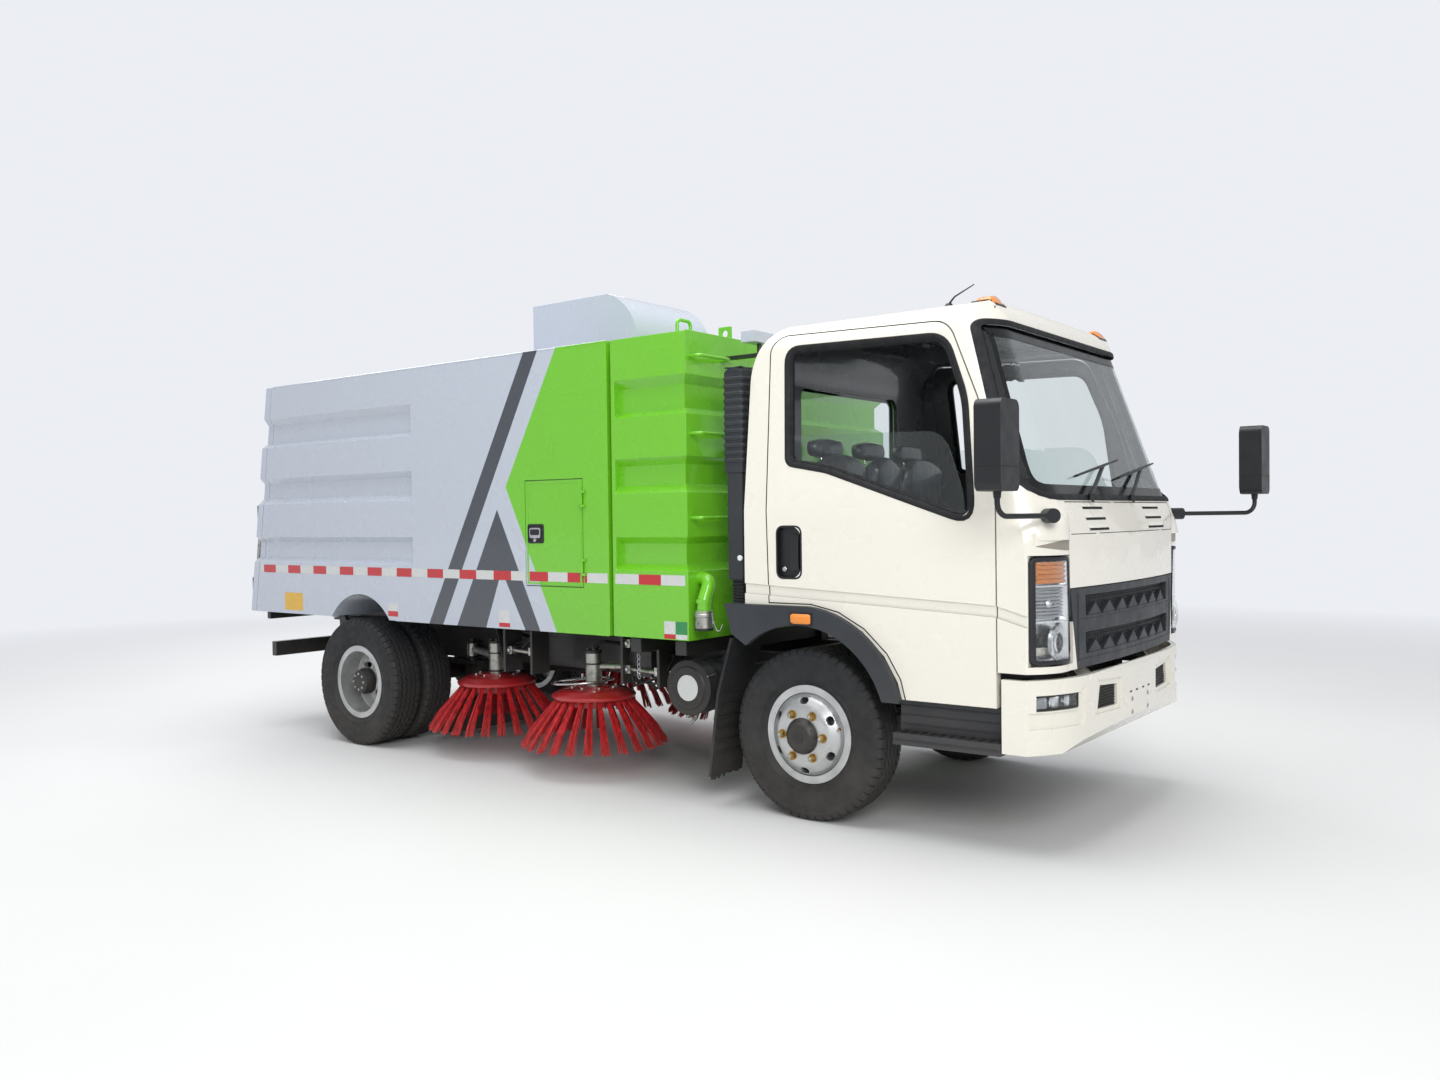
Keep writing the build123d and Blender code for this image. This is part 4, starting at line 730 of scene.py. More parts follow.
for name, s in SIDES:
    front_body, rear_body = f"front_wheel_{name}", f"rear_wheels_{name}"
    tyre = Piece(f"tyre_tread_front_{name}").use("tyre")
    tread_ring(tyre, 0, FRONT_TRACK, s)
    tyre.done(front_body, "tyre_rubber", [f"tyre_front_{name}"], angle=28)
    tyre = Piece(f"tyre_tread_rear_{name}").use("tyre")
    tread_ring(tyre, REAR_AXLE, REAR_OUTER, s)
    tread_ring(tyre, REAR_AXLE, REAR_INNER, s)
    tyre.done(rear_body, "tyre_rubber", [f"tyre_rear_{name}"], angle=28)

    for rim, body, x in ((f"rim_front_{name}", front_body, 0), (f"rim_rear_{name}", rear_body, REAR_AXLE)):
        face = onto(name, rim)
        fittings = Piece(f"wheel_fittings_{body}")
        for a in turns(6):
            nx, nz = polar(x, TYRE_R, STUD_CIRCLE, a)
            nut(fittings, nx, face(*polar(x, TYRE_R, STUD_CIRCLE, a + 0.17), 0)[1], nz, s)
        y, z = face(x + 180, TYRE_R + 40, 0)[1], TYRE_R + 42
        fittings.use("brass").tube([(x + 176, y, z), (x + 182, y + s * 22, z), (x + 196, y + s * 34, z + 4)],
                                   [5, 4, 4], 10)
        fittings.use("rubber").rod((x + 174, y - s * 2, z), (x + 178, y + s * 8, z), 9, 12, 6)
        fittings.done(body, "bright_steel", bevel=0.0008, angle=40)

    hub = Piece(f"hub_cap_front_{name}").use("dark")
    hub_y = FRONT_TRACK + 122
    hub.lathe([(10, 84.6), (14, 85.4), (17, 82), (30, 76), (36, 66), (43, 60), (45, 54), (45, 40),
               (47.5, 36), (47.5, 0), (40, 0), (40, 50), (30, 60), (10, 72)],
              (0, s * hub_y, TYRE_R), (0, s, 0))
    for a in turns(6, 0.5):
        x, z = polar(0, TYRE_R, 70, a)
        hub.hexagon((x, s * (hub_y + 30), z), (0, s, 0), 6, 5)
    hub.use("rubber").lathe([(44, 30), (50, 28), (51, 0), (44, 0)], (0, s * hub_y, TYRE_R), (0, s, 0), 24)
    hub.done(front_body, "cast_dark", bevel=0.001, angle=35)

    hub = Piece(f"hub_cap_rear_{name}").use("dark")
    low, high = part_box(f"rim_rear_{name}")
    hub_y = max(abs(low.y), abs(high.y)) * 1000 - 66
    hub.lathe([(-6, 84), (28, 83.5), (33, 80), (58, 73), (63, 66), (67, 60), (68, 0), (56, 0), (52, 62),
               (-6, 76)], (REAR_AXLE, s * hub_y, TYRE_R), (0, s, 0))
    hub.use("zinc")
    for a in turns(8):
        x, z = polar(REAR_AXLE, TYRE_R, 50, a)
        hub.hexagon((x, s * (hub_y + 66), z), (0, s, 0), 8, 7)
    hub.done(rear_body, "cast_dark", bevel=0.001, angle=35)


# Brushes

TUFT_ANGLES = turns(26, 0.06)
MOTOR_TOP = 675


def tuft(piece, x, y, a, rng):
    """Loose strands from one hole of the disc."""
    ca, sa = cos(a), sin(a)

    def out(r, across, z):
        return Vector((x + r * ca - across * sa, y + r * sa + across * ca, z))

    for _ in range(44):
        t, w = rng.uniform(-1, 1), rng.uniform(-1, 1)
        root = out(196 + 9 * w, 9 * t, BRUSH_Z - 6)
        reach, across = 402 + 15 * w + rng.uniform(-4, 4), 25 * t + rng.uniform(-3, 3)
        tip = out(reach, across, 158 + rng.uniform(-3, 9) - 5 * w)
        sag = Vector((ca, sa, 0)) * rng.uniform(4, 16)
        kink = [Vector([rng.uniform(-1.6, 1.6) for _ in range(3)]) for _ in range(2)]
        bend = [root.lerp(tip, 0.35) + sag * 0.7 + kink[0], root.lerp(tip, 0.7) + sag + kink[1]]
        piece.tube([root, *bend, tip], [1.9, 1.8, 1.6, 1.3], 4)


for place, x, width in BRUSHES:
    for name, s in SIDES:
        y = s * width
        brush_body = f"side_brush_{place}_{name}"
        rng = random.Random(f"{place}{name}")
        brush = Piece(f"brush_bristles_{place}_{name}").use("bristle")
        for a in TUFT_ANGLES:
            tuft(brush, x, y, a, rng)
        brush.done(brush_body, "bristle_red", angle=50)

        disc = Piece(f"brush_disc_{place}_{name}").use("red")
        disc.lathe([(42, 21), (42.5, 142), (39, 148), (33, 186), (30, 192), (6, 237), (1, 240), (-6, 238),
                    (-14, 234), (-14, 150), (-60, 146), (-60, 1), (-12, 1), (-12, 21)],
                   (x, y, BRUSH_Z), UP, 72)
        disc.lathe([(43, 46), (43, 92), (48, 90), (50, 60), (50, 46)], (x, y, BRUSH_Z), UP, 36)
        disc.use("zinc")
        for a in turns(8, 0.2):
            bolt = polar(x, y, 126, a)
            disc.rod((*bolt, BRUSH_Z + 41.5), (*bolt, BRUSH_Z + 43.5), 12, 16)
            disc.hexagon((*bolt, BRUSH_Z + 43.5), UP, 8.5, 8)
        disc.use("dark")
        for a in TUFT_ANGLES:
            disc.rod((*polar(x, y, 194, a), BRUSH_Z - 20), (*polar(x, y, 199, a), BRUSH_Z - 10), 15, 12, 13)
        disc.done(brush_body, "red_paint", [f"brush_{place}_{name}"], bevel=0.0012, angle=30)

        motor = Piece(f"brush_motor_{place}_{name}").use("dark")
        motor.lathe([(0, 30), (0, 47), (6, 49), (16, 49), (20, 44), (20, 0), (0, 0)], (x, y, MOTOR_TOP - 12),
                    UP, 32)
        for z, r, high in ((BRUSH_Z + 60, 52, 10), (600, 50, 8)):
            motor.lathe([(0, 46.5), (0, r), (high, r), (high, 46.5)], (x, y, z), UP, 32)
        motor.use("zinc")
        for a in turns(4, pi / 4):
            motor.hexagon((*polar(x, y, 34, a), MOTOR_TOP + 8), UP, 6, 5)
        motor.use("rubber")
        for dy in (-14, 14):
            motor.tube([(x + dx, s * (width + dy - inward), MOTOR_TOP + dz) for dx, inward, dz in (
                (20, 0, 4), (24, 0, 34), (60, 30, 52), (120, 90, 40), (170, 150, 10))], 9, 10)
        if place == "front":
            motor.use("steel")
            guard = [(*polar(x - 60, s * (width + 28), 172, a), 503 + 12 * cos(a)) for a in turns(48)]
            motor.tube(guard, 7.5, 12, closed=True)
            for outer, inner in (((x - 230, s * (width + 28), 490), (x - 60, s * (width + 4), 512)),
                                 ((x - 60, s * (width + 200), 503), (x - 60, s * (width + 60), 512))):
                motor.tube([outer, inner, (x - 20, y, 512)], 6, 10)
            motor.rod((x - 60, s * (width + 28), 508), (x - 60, s * (width + 28), 545), 8, 12)
        motor.done(f"arm_{place}_{name}", "bright_steel", bevel=0.0008, angle=40)


# Reflective tape and blank plates on the body's sides

TAPE_LOW, TAPE_HIGH = 1085, 1137
TAPE_PERIOD = 293.8
HOPPER_TAPE_START = -4402


def stuck(piece, key, s, x0, x1, z0, z1, thick=1.0):
    """A thin sheet on the body's side."""
    return piece.use(key).box(x0, x1, s * (BODY_HALF + 0.1), s * (BODY_HALF + thick), z0, z1)


def tape(piece, s, low, high, start, length=145, period=TAPE_PERIOD):
    """White tape between two stations with red blocks; start is where one red block begins."""
    stuck(piece, "tape_white", s, low, high, TAPE_LOW, TAPE_HIGH, 0.9)
    n = int((low - start) / period) - 1
    while start + n * period < high:
        a, b = max(low, start + n * period), min(high, start + n * period + length)
        if b - a > 8:
            stuck(piece, "tape_red", s, a, b, TAPE_LOW, TAPE_HIGH, 1.2)
        n += 1
    return piece


for name, s in SIDES:
    strips = Piece(f"reflective_tape_hopper_{name}")
    for low, high in ((-4440, -1793), (-1337, -1172)) if s < 0 else ((-4440, -1172),):
        tape(strips, s, low, high, HOPPER_TAPE_START)
    strips.done("hopper", "red_paint")
    strips = Piece(f"reflective_tape_tank_{name}")
    tape(strips, s, TANK_REAR + 18, TANK_FRONT - 18, -955, 148, 900).done("chassis", "red_paint")
    plates = Piece(f"blank_plates_hopper_{name}")
    stuck(plates, "yellow", s, -4151, -3943, 836, 952)
    for x0, x1, z0, split, z1 in ((-3024, -2928, 838, 870.4, 919), (-2011, -1922, 820, 843.5, 914)):
        stuck(plates, "tape_white", s, x0, x1, split, z1)
        stuck(plates, "tape_red", s, x0, x1, z0, split, 1.1)
    plates.done("hopper", "red_paint")
    plates = Piece(f"blank_plates_tank_{name}")
    for x, key, foot in ((-790, "tape_white", "tape_red"), (-714, "plate_green", "tape_white")):
        stuck(plates, key, s, x, x + 72, 842, 906)
        stuck(plates, foot, s, x, x + 72, 818, 842)
    plates.done("chassis", "red_paint")

latch = tape(Piece("locker_trim"), -1, -1781, -1349, HOPPER_TAPE_START)
latch.use("frit").plate(rect(-1763, -1643, 1296, 1396, 12), body_side(-1), 0.1, 1.6)
latch.use("dark").band(rect(-1763, -1643, 1296, 1396, 12),
                       [(-8, 1.2), (-8, 4.5), (-3, 5.5), (2, 4), (3, 0.1)], body_side(-1))
latch.use("steel").plate(rect(-1748, -1662, 1322, 1378, 14), body_side(-1), 1.6, 7)
latch.use("dark").plate(rect(-1740, -1672, 1338, 1370, 10), body_side(-1), 7, 9)
latch.use("steel").lathe([(0, 11), (9, 10), (10, 7), (10, 0), (0, 0)],
                         (-1703, -BODY_HALF - 1.5, 1311), (0, -1, 0), 20)
latch.use("green").band([Vector(p) for p in ((-1779, 1065), (-1351, 1065), (-1351, 1632), (-1779, 1632))],
                        [(-22, 0), (-22, 1.5), (-14, 2.6), (-6, 1.5), (-6, 0)], body_side(-1))
latch.done("locker", "black_paint", bevel=0.0008, angle=35)


# Cab glazing and door fittings; an outline's third value is its corner's radius

WINDOW = [(-82, 1668, 45), (-116, 2216, 70), (708, 2198, 125),
          (814, 1921, 500), (872, 1377, 72), (137, 1628, 400)]
SCREEN = [(-914, 1486, 135), (-815, 2248, 45), (815, 2248, 45), (914, 1486, 135)]
POCKET = rect(-125, 6, 1374, 1137, 34)

screen_loop = dense(rounded(SCREEN, 40), 30)
glazing = Piece("windscreen_surround").use("seal")
glazing.band(screen_loop, [(-16, -2), (-16, 1.2), (-8, 4.5), (2, 5.5), (9, 3.5), (10, 0), (2, -6)], screen)
glazing.band(dense(rect(-500, 500, 1580, 2080, 60), 60),
             [(-16, -2), (-16, 2), (-6, 6), (6, 6), (12, 2), (12, -1)], onto("rear", "cab_shell"))
glazing.done("cab", "black_rubber", angle=40)
frit = Piece("windscreen_frit").use("frit")
frit.band(screen_loop, [(-62, -16.6), (-62, -15.8), (-10, -15.8), (-10, -16.6)], screen)
frit.done("cab", "black_rubber")

for name, s in SIDES:
    door, side = f"door_{name}_body", cab_side(s)
    trim = Piece(f"window_rubber_{name}").use("seal")
    trim.band(dense(rounded(WINDOW, 45), 40),
              [(-27, -30), (-27, -13), (-21, -5), (-17, -6), (-13, -1), (-2, 3.5), (8, 3), (11, 1), (11, -1),
               (-1, -30)], side)
    trim.done(door, "black_rubber", angle=35)

    handle = Piece(f"door_handle_{name}").use("dark")
    handle.plate(grown(POCKET, -1.5), side, -23.8, -22)
    handle.band(dense(POCKET, 30), [(-3, -23), (-2.5, -2), (-2, 1.6), (5, 1.8), (7, 0.6), (7, 0), (-0.5, -1),
                                    (-0.8, -23)], side)
    handle.patch(steps(-56, -12, 6), steps(1172, 1338, 10), side, -14,
                 lambda u, v: -3 - ((u + 34) / 22) ** 2 * 4 - ((v - 1255) / 83) ** 4 * 5)
    for z in (1190, 1320):
        handle.box(-48, -20, s * (CAB_HALF - 23), s * (CAB_HALF - 10), z - 14, z + 14)
    handle.use("steel").lathe([(0, 12), (10, 12), (12, 10), (12, 4), (11, 0), (0, 0)],
                              (-94, s * (CAB_HALF - 23), 1176), (0, s, 0), 24)
    handle.done(door, "black_rubber", bevel=0.0015, angle=35)

    marker = Piece(f"side_marker_{name}").use("dark").box(-36, 87, s * 974.6, s * 978, 921, 981)
    marker.use("amber").patch(steps(-29, 80, 12), steps(928, 974, 6),
                              lambda x, z, h: (x, s * (977 + h), z), 0,
                              lambda u, v: 9 - ((u - 25.5) / 54.5) ** 4 * 6 - ((v - 951) / 23) ** 4 * 6)
    marker.done("cab", "lamp_lens", bevel=0.0015, angle=40)

roof_lamps = Piece("roof_marker_lamps")
for y in (-656, 656):
    roof_lamps.use("dark").patch(steps(762, 872, 6), steps(y - 62, y + 62, 6), cab_roof, -3, 5)
    roof_lamps.use("amber").patch(steps(770, 864, 8), steps(y - 54, y + 54, 10), cab_roof, 4,
                                  lambda u, v: 24 - ((u - 817) / 47) ** 4 * 15 - ((v - y) / 54) ** 4 * 15)
roof_lamps.use("dark").rod((560, -520, 2378), (560, -520, 2392), 22, 20, 14)
roof_lamps.tube([(560, -520, 2390), (590, -522, 2420), (690, -530, 2462)], [5, 4, 2.5], 10)
roof_lamps.done("cab", "lamp_lens", bevel=0.002, angle=40)


# Lamps, with heights above their own fronts

LAMP = [(700, 805), (926, 805), (926, 1241), (726, 1241)]
LAMP_BACK, FOG_BACK = -40, -42


def ribs(piece, surface, ys, z, pitch, count, parts, base, wave):
    """Moulded ribs above one another."""
    for k in range(count):
        foot = z + k * pitch[0]
        piece.patch(ys, steps(foot, foot + pitch[1], parts), surface, LAMP_BACK,
                    lambda u, v: base + wave * sin((v - foot) / pitch[1] * pi))


for name, s in SIDES:
    front = on_side(lamp_face, s)
    housing = Piece(f"headlamp_housing_{name}").use("dark")
    loop = dense(rounded(LAMP, 26), 16)
    housing.band(loop, [(-17, -44), (-15, -3), (-13, 0.5), (-4, 2.5), (2, 1), (2.5, -6), (0, -44)], front)
    housing.use("chrome").plate(grown(loop, -8), front, -44, LAMP_BACK)
    housing.band(loop, [(-34, LAMP_BACK), (-30, -26), (-17, -8), (-15, -10), (-15, -42)], front)
    for z in (978, 1124):
        housing.patch(cornerward(716, 912, 14), [z - 4, z + 4], front, LAMP_BACK, -9)
    beam, signal = front(800, 890, -34), front(846, 1052, -24)
    for key, profile, centre, sides in (
            ("chrome", [(0, 66), (10, 72), (24, 76), (26, 74), (14, 60), (4, 40), (4, 0), (0, 0)], beam, 40),
            ("chrome", [(4, 44), (22, 46), (27, 42), (25, 38), (8, 36)], beam, 40),
            ("dark", [(3, 36), (6, 36), (6, 0), (3, 0)], beam, 32),
            ("lamp_glass", [(6, 37), (14, 34), (22, 24), (26, 12), (27, 0), (6, 0)], beam, 32),
            ("chrome", [(0, 18), (6, 15), (6, 6), (14, 5), (16, 0), (0, 0)], signal, 24)):
        housing.use(key).lathe(profile, centre, AHEAD, sides)
    ribs(housing.use("ribbed"), front, cornerward(724, 900, 10), 992, (14.4, 12), 9, 3, -26, 6)
    ribs(housing.use("amber"), front, cornerward(738, 900, 10), 1134, (19, 18), 5, 4, -16, 5)
    housing.done("cab", "lamp_lens", ["headlamps"] if s < 0 else (), bevel=0.0006, angle=35)
    cover = Piece(f"headlamp_cover_{name}").use("lamp_glass")
    cover.patch(cornerward(710, 915, 16), steps(816, 1231, 12), front, -4.5, -1.5)
    cover.done("cab", "clear_glass", angle=40)

    corner = on_side(cab_front, s)
    vane = Piece(f"corner_vane_{name}").use("cream")
    vane.patch(cornerward(716, 906, 16), steps(1312, 1396, 10), corner, -2,
               lambda u, v: 1.0 + 15 * max(0, sin(pi * (u - 716) / 190)) ** 0.5 * ((1396 - v) / 84) ** 1.4)

    def shadow_crescent(u, t, h):
        """The painted shadow under the vane: narrows from 46 mm high at the panel to 2 mm at the corner."""
        rise = ((u - 716) / 196) ** 2
        return corner(u, 1268 + 18 * rise + t * (46 - 44 * rise), h)

    # Painted shadow: a darker sheet in the crescent under the vane, where only shade falls.
    vane.use("shade").patch(cornerward(722, 912, 18), steps(0, 1, 6), shadow_crescent, -2, 0.9)
    vane.done("cab", "cream_paint", angle=30)

    front = on_side(bumper_front, s)
    fog = Piece(f"fog_lamp_{name}").use("dark")
    fog.patch(cornerward(672, 908, 12), [608, 681], front, -62, -56)
    fog.band(dense(rect(677, 904, 613, 676, 6), 20),
             [(-9, -40), (-8, -13), (-6, -11.5), (0, -12), (0.5, -40)], front)
    fog.use("chrome").patch(cornerward(680, 901, 10), [616, 673], front, -58, FOG_BACK)
    for y in (735, 815):
        centre = front(y, 645, FOG_BACK)
        fog.lathe([(0, 26), (14, 29), (15, 27), (4, 16), (3, 0), (0, 0)], centre, AHEAD, 28)
        fog.lathe([(0, 8), (12, 7), (14, 4), (14, 0), (0, 0)], centre, AHEAD, 16)
    fog.use("ribbed").patch(cornerward(846, 897, 8), [620, 669], front, FOG_BACK,
                            lambda u, v: -24 + 2.5 * sin(u * 0.9))
    fog.use("lamp_glass").patch(cornerward(684, 897, 10), [619, 670], front, -17, -14.5)
    fog.done("chassis", "lamp_lens", bevel=0.0006, angle=35)


# Front panel, grille and bumper

nose = Piece("front_louvres")
panel_front = onto("front", "front_panel", "cab_shell")
for s in (-1, 1):
    ys = [s * y for y in steps(283, 529, 8)]
    for z in (1447, 1400, 1355):
        def lip(u, v):
            """A louvre's edge, highest at its foot."""
            return 0.8 + 6 * ((z + 18 - v) / 16) * (1 - (abs(abs(u) - 406) / 123) ** 6)

        nose.use("seal").patch(ys, [z - 9, z + 8], panel_front, -2, 0.7)
        nose.use("cream").patch(ys, steps(z + 2, z + 18, 4), panel_front, -2, lip)
nose.use("seal").patch(steps(-700, 700, 24), [1332, 1335.2], panel_front, -2, 0.35)
for s in (-1, 1):
    seam_end = [Vector((s * y, z)) for y, z in ((700, 1333.5), (712, 1346), (712, 1352), (697, 1336))]
    nose.plate(grown(seam_end, 0.2), panel_front, -2, 0.35)
nose.done("cab", "cream_paint", angle=30)

mesh = Piece("grille_mesh").use("dark")
sunk = onto("front", "grille")
for low, high in ((826, 915), (986, 1072)):
    for z in steps(low + 10, high - 8, 4):
        mesh.tube([sunk(y, low - 14, -24)[:2] + (z,) for y in steps(-562, 562, 14)], 2.2, 6)
    for y in steps(-556, 556, 62):
        place = sunk(y, low - 14, -25)[:2]
        mesh.rod(place + (low + 4,), place + (high - 3,), 1.6, 5)
mesh.use("charcoal")
for z in (802, 971):
    mesh.tube([sunk(y, z, 0.5) for y in steps(-640, 640, 20)], 3.4, 8)
for y in (-640, 640):
    mesh.tube([sunk(y, z, 0.4) for z in steps(800, 1085, 10)], 3.2, 8)
mesh.done("cab", "charcoal_plastic", angle=40)

grid = Piece("bumper_grids").use("dark")
for s in (-1, 1):
    for z in steps(578, 668, 7):
        grid.tube([bumper_front(s * y, z, -22) for y in steps(274, 490, 6)], 2.0, 6)
    for y in steps(280, 486, 16):
        grid.rod(bumper_front(s * y, 570, -23), bumper_front(s * y, 674, -23), 1.7, 5)
    grid.patch([s * y for y in steps(262, 500, 6)], [562, 684], bumper_front, -36, -31)
grid.use("zinc")
for y in (-110, 110):
    for z in (515, 575):
        x = bumper_face(y * 1.3, z, 0)[0]
        grid.lathe([(0, 4.6), (0, 11), (2.5, 11), (3, 4.6)], (x, y, z), AHEAD, 24)
grid.use("seal")
for y in (-128, -46, 46, 128):
    grid.patch(steps(y - 15, y + 15, 3), [606, 614], bumper_face, -2, 0.4)
grid.done("chassis", "charcoal_plastic", bevel=0.0005, angle=40)


# Wiper blades and mirrors

blades = Piece("wiper_blades")
for y0 in (-470, 80):
    line = [(y0 + 620 * t, 1584 + 88 * t) for t in steps(0, 1, 16)]
    section = ((-2, -17.5), (2, -17.5), (5, -4), (-5, -4))
    blades.use("rubber").loft([[screen(y, z + dz, h) for dz, h in section] for y, z in line])
    blades.use("dark").tube([screen(y, z, 3 + 7 * sin(pi * k / 16)) for k, (y, z) in enumerate(line)],
                            [4 + 3 * sin(pi * k / 16) for k in range(17)], 8)
blades.done("cab", "black_rubber", angle=40)

glasses = Piece("mirror_glass")
for x, y in MIRRORS:
    outline = rect(y - 76, y + 76, 1528, 1850, 26)
    glasses.use("dark").band(outline, [(-4, 0), (-4, 3), (3, 4), (9, 0)], lambda u, v, h: (x - 55 - h, u, v))
    glasses.use("chrome").plate(grown(outline, -3), lambda u, v, h: (x - 55 - h, u, v), 0.2, 2)
    glasses.use("seal").band(rect(x - 55, x + 55, y - 90, y + 90, 3),
                             [(-1, 1604.5), (0.5, 1604.5), (0.5, 1607.5), (-1, 1607.5)], level)
    glasses.use("dark").tube([(x, y, 1510), (x, y, 1482)], [17, 14], 20)
glasses.done("cab", "charcoal_plastic", bevel=0.001, angle=40)


# Seats

def cushion(name, centre, size, tilt, crown, channels=()):
    """A stuffed form: faces crowned, sides pulled in between corners, grooves along its sewn channels."""
    bm = bmesh.new()
    bmesh.ops.create_cube(bm, size=2.0)
    bmesh.ops.subdivide_edges(bm, edges=bm.edges, cuts=13, use_grid_fill=True)
    lean = Matrix.Rotation(radians(tilt), 3, "Y")
    for v in bm.verts:
        u, w, t = v.co
        a, b, c = [x * sqrt(max(0.02, 1 - 0.36 * (y * y + z * z) + 0.27 * y * y * z * z)) for x, y, z in
                   ((u, w, t), (w, u, t), (t, u, w))]
        pull = 1 - 0.05 * (1 - w * w) * abs(u) ** 4
        pull_side = 1 - 0.05 * (1 - u * u) * abs(w) ** 4
        height = c * size[2] / 2 * (1 + crown * (1 - u * u) * (1 - w * w))
        for groove in channels:
            height -= (1 if c > 0 else 0) * size[2] * 0.07 * max(0, 1 - abs(w - groove) / 0.07) ** 0.7
        ripple = 0.9 * sin(u * 21 + w * 8) * sin(w * 17 - u * 5) * (1 - abs(u) ** 4)
        spot = lean @ Vector((a * size[0] / 2 * pull, b * size[1] / 2 * pull_side, height + ripple))
        v.co = at(*(Vector(centre) + spot))
    made = linked(name, bm)
    made.data.materials.append(M["seat"])
    smooth = made.modifiers.new("smooth", "SUBSURF")
    smooth.levels = 1
    smooth.render_levels = 1
    for polygon in made.data.polygons:
        polygon.use_smooth = True
    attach(made, "cab")
    return made


for label, y, width in SEATS:
    base = cushion(f"seat_base_{label}", (118, y, 1176), (490, width, 128), 3, 0.16, (-0.5, 0.5))
    cushion(f"seat_back_{label}", (-118, y, 1468), (560, width, 116), -80, 0.14, (-0.5, 0.5))
    cushion(f"head_rest_{label}", (-172, y, 1763), (84, min(width, 300), 92), -4, 0.1)
    if label == "driver":
        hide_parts("seats")

seat_frames = Piece("seat_frames")
for label, y, width in SEATS:
    half = width / 2 - (20 if label == "middle" else 25)
    tray = ((-110, 320, 1049, half - 20), (-120, 335, 1060, half - 4), (-110, 330, 1118, half - 8))
    seat_frames.use("dash").loft([[(x0, y - w, z), (x0, y + w, z), (x1, y + w, z), (x1, y - w, z)]
                                  for x0, x1, z, w in tray])
    seat_frames.use("dark").box(-60, 280, y - half + 30, y + half - 30, 1116, 1136)
    seat_frames.use("steel")
    for dy in (-52, 52):
        seat_frames.rod((-160, y + dy, 1690), (-172, y + dy, 1740), 6, 12)
seat_frames.done("cab", "dash_plastic", bevel=0.006, angle=35)


# Dashboard fittings

dash_top, dash_rear = onto("top", "dashboard"), onto("rear", "dashboard")
panel = Piece("dashboard_fittings").use("dark")


def binnacle(u, v):
    """The hood over the driver's gauges."""
    return 4 + 46 * max(0, sin(pi * (v - 250) / 360)) ** 0.5 * (1 - max(0, (u - 860) / 140) ** 2)


panel.patch(steps(800, 1000, 8), steps(250, 610, 14), dash_top, -3, binnacle)
panel.patch(steps(1010, 1080, 4), steps(-780, 780, 20), dash_top, -3, 3)
for y in (-700, -560, 130, 740):
    panel.use("charcoal").band(rect(y - 55, y + 55, 1355, 1405, 10),
                               [(-8, -2), (-8, 3), (-3, 5), (2, 3), (3, -2)], dash_rear)
    panel.use("dark")
    for z in (1367, 1380, 1393):
        panel.patch(steps(y - 46, y + 46, 2), [z - 2, z + 2], dash_rear, -1, 3)
panel.use("frit").patch(steps(-60, 80, 4), steps(1262, 1330, 3), dash_rear, -1, 4)
panel.use("dash").patch(steps(-520, -120, 6), steps(1215, 1330, 4), dash_rear, -1, 6)
panel.use("dark").rod((640, 40, 1250), (590, 40, 1400), 9, 14)
panel.lathe([(-30, 8), (-24, 20), (0, 26), (20, 20), (28, 8), (28, 0), (-30, 0)],
            (585, 40, 1415), UP, 24)
panel.use("rubber").lathe([(0, 60), (20, 52), (30, 55), (50, 44), (60, 46), (90, 24), (110, 12), (110, 0),
                           (0, 0)], (655, 40, 1170), (-0.3, 0, 1), 28)
panel.done("cab", "dash_plastic", bevel=0.002, angle=35)


# Air intake: ribs, cap, lower pipe, bellows, gauge and cleaner

intake = Piece("air_intake_ribs").use("charcoal")
for k in range(12):
    z = 1702 + k * 36
    intake.band(rect(-458, -347, -903, -787, 14),
                [(-6, z - 13), (0, z - 13), (4, z - 9), (6, z + 1), (3, z + 7), (-6, z + 8)], level)
for k in range(4):
    z = 2129 + 6 * k
    intake.band(grown(rect(-455, -350, -900, -790, 20), -3 * k * k),
                [(-30, z), (-30, z + 6), (2, z + 5), (3, z)], level)
intake.band(rect(-445, -360, -895, -795, 10), [(-4, 1128), (3, 1128), (3, 1634), (-4, 1634)], level)
intake.use("rubber")
for k in range(7):
    z = 1014 + k * 15.5
    intake.band(rect(-432, -368, -882, -808, 18),
                [(-4, z - 5), (3, z - 5), (9, z), (3, z + 5), (-4, z + 5)], level)
intake.use("white_lens").lathe([(0, 14), (8, 14), (12, 10), (13, 0), (0, 0)],
                               (-372, -896, 1224), (0.2, -1, 0), 20)
intake.use("dark").box(-398, -362, -897.5, -890, 1206, 1245)
intake.lathe([(-6, 137), (-6, 141), (4, 142), (8, 136), (10, 112), (16, 106), (18, 84), (12, 72), (11, 0),
              (-4, 0), (-4, 130)], DRUM, (0, -1, 0), 56)
for d in (-90, -220):
    intake.lathe([(d - 9, 136.5), (d - 9, 140), (d - 3, 141), (d + 3, 141), (d + 9, 140), (d + 9, 136.5)],
                 DRUM, (0, -1, 0), 56)
intake.use("tape_white").lathe([(11, 66), (13.4, 66), (13.6, 64), (13.6, 0), (11, 0)], DRUM, (0, -1, 0), 40)
intake.use("zinc")
for a in (0.5, 2.6, 4.7):
    clip = [(y, *polar(DRUM[0], DRUM[2], r, a)) for y, r in ((-868, 139), (-840, 139), (-815, 146))]
    intake.tube([(x, y, z) for y, x, z in clip], 5, 8)
intake.done("chassis", "charcoal_plastic", bevel=0.0015, angle=35)


# Tank coupling, its cap chain, and seams on the tank

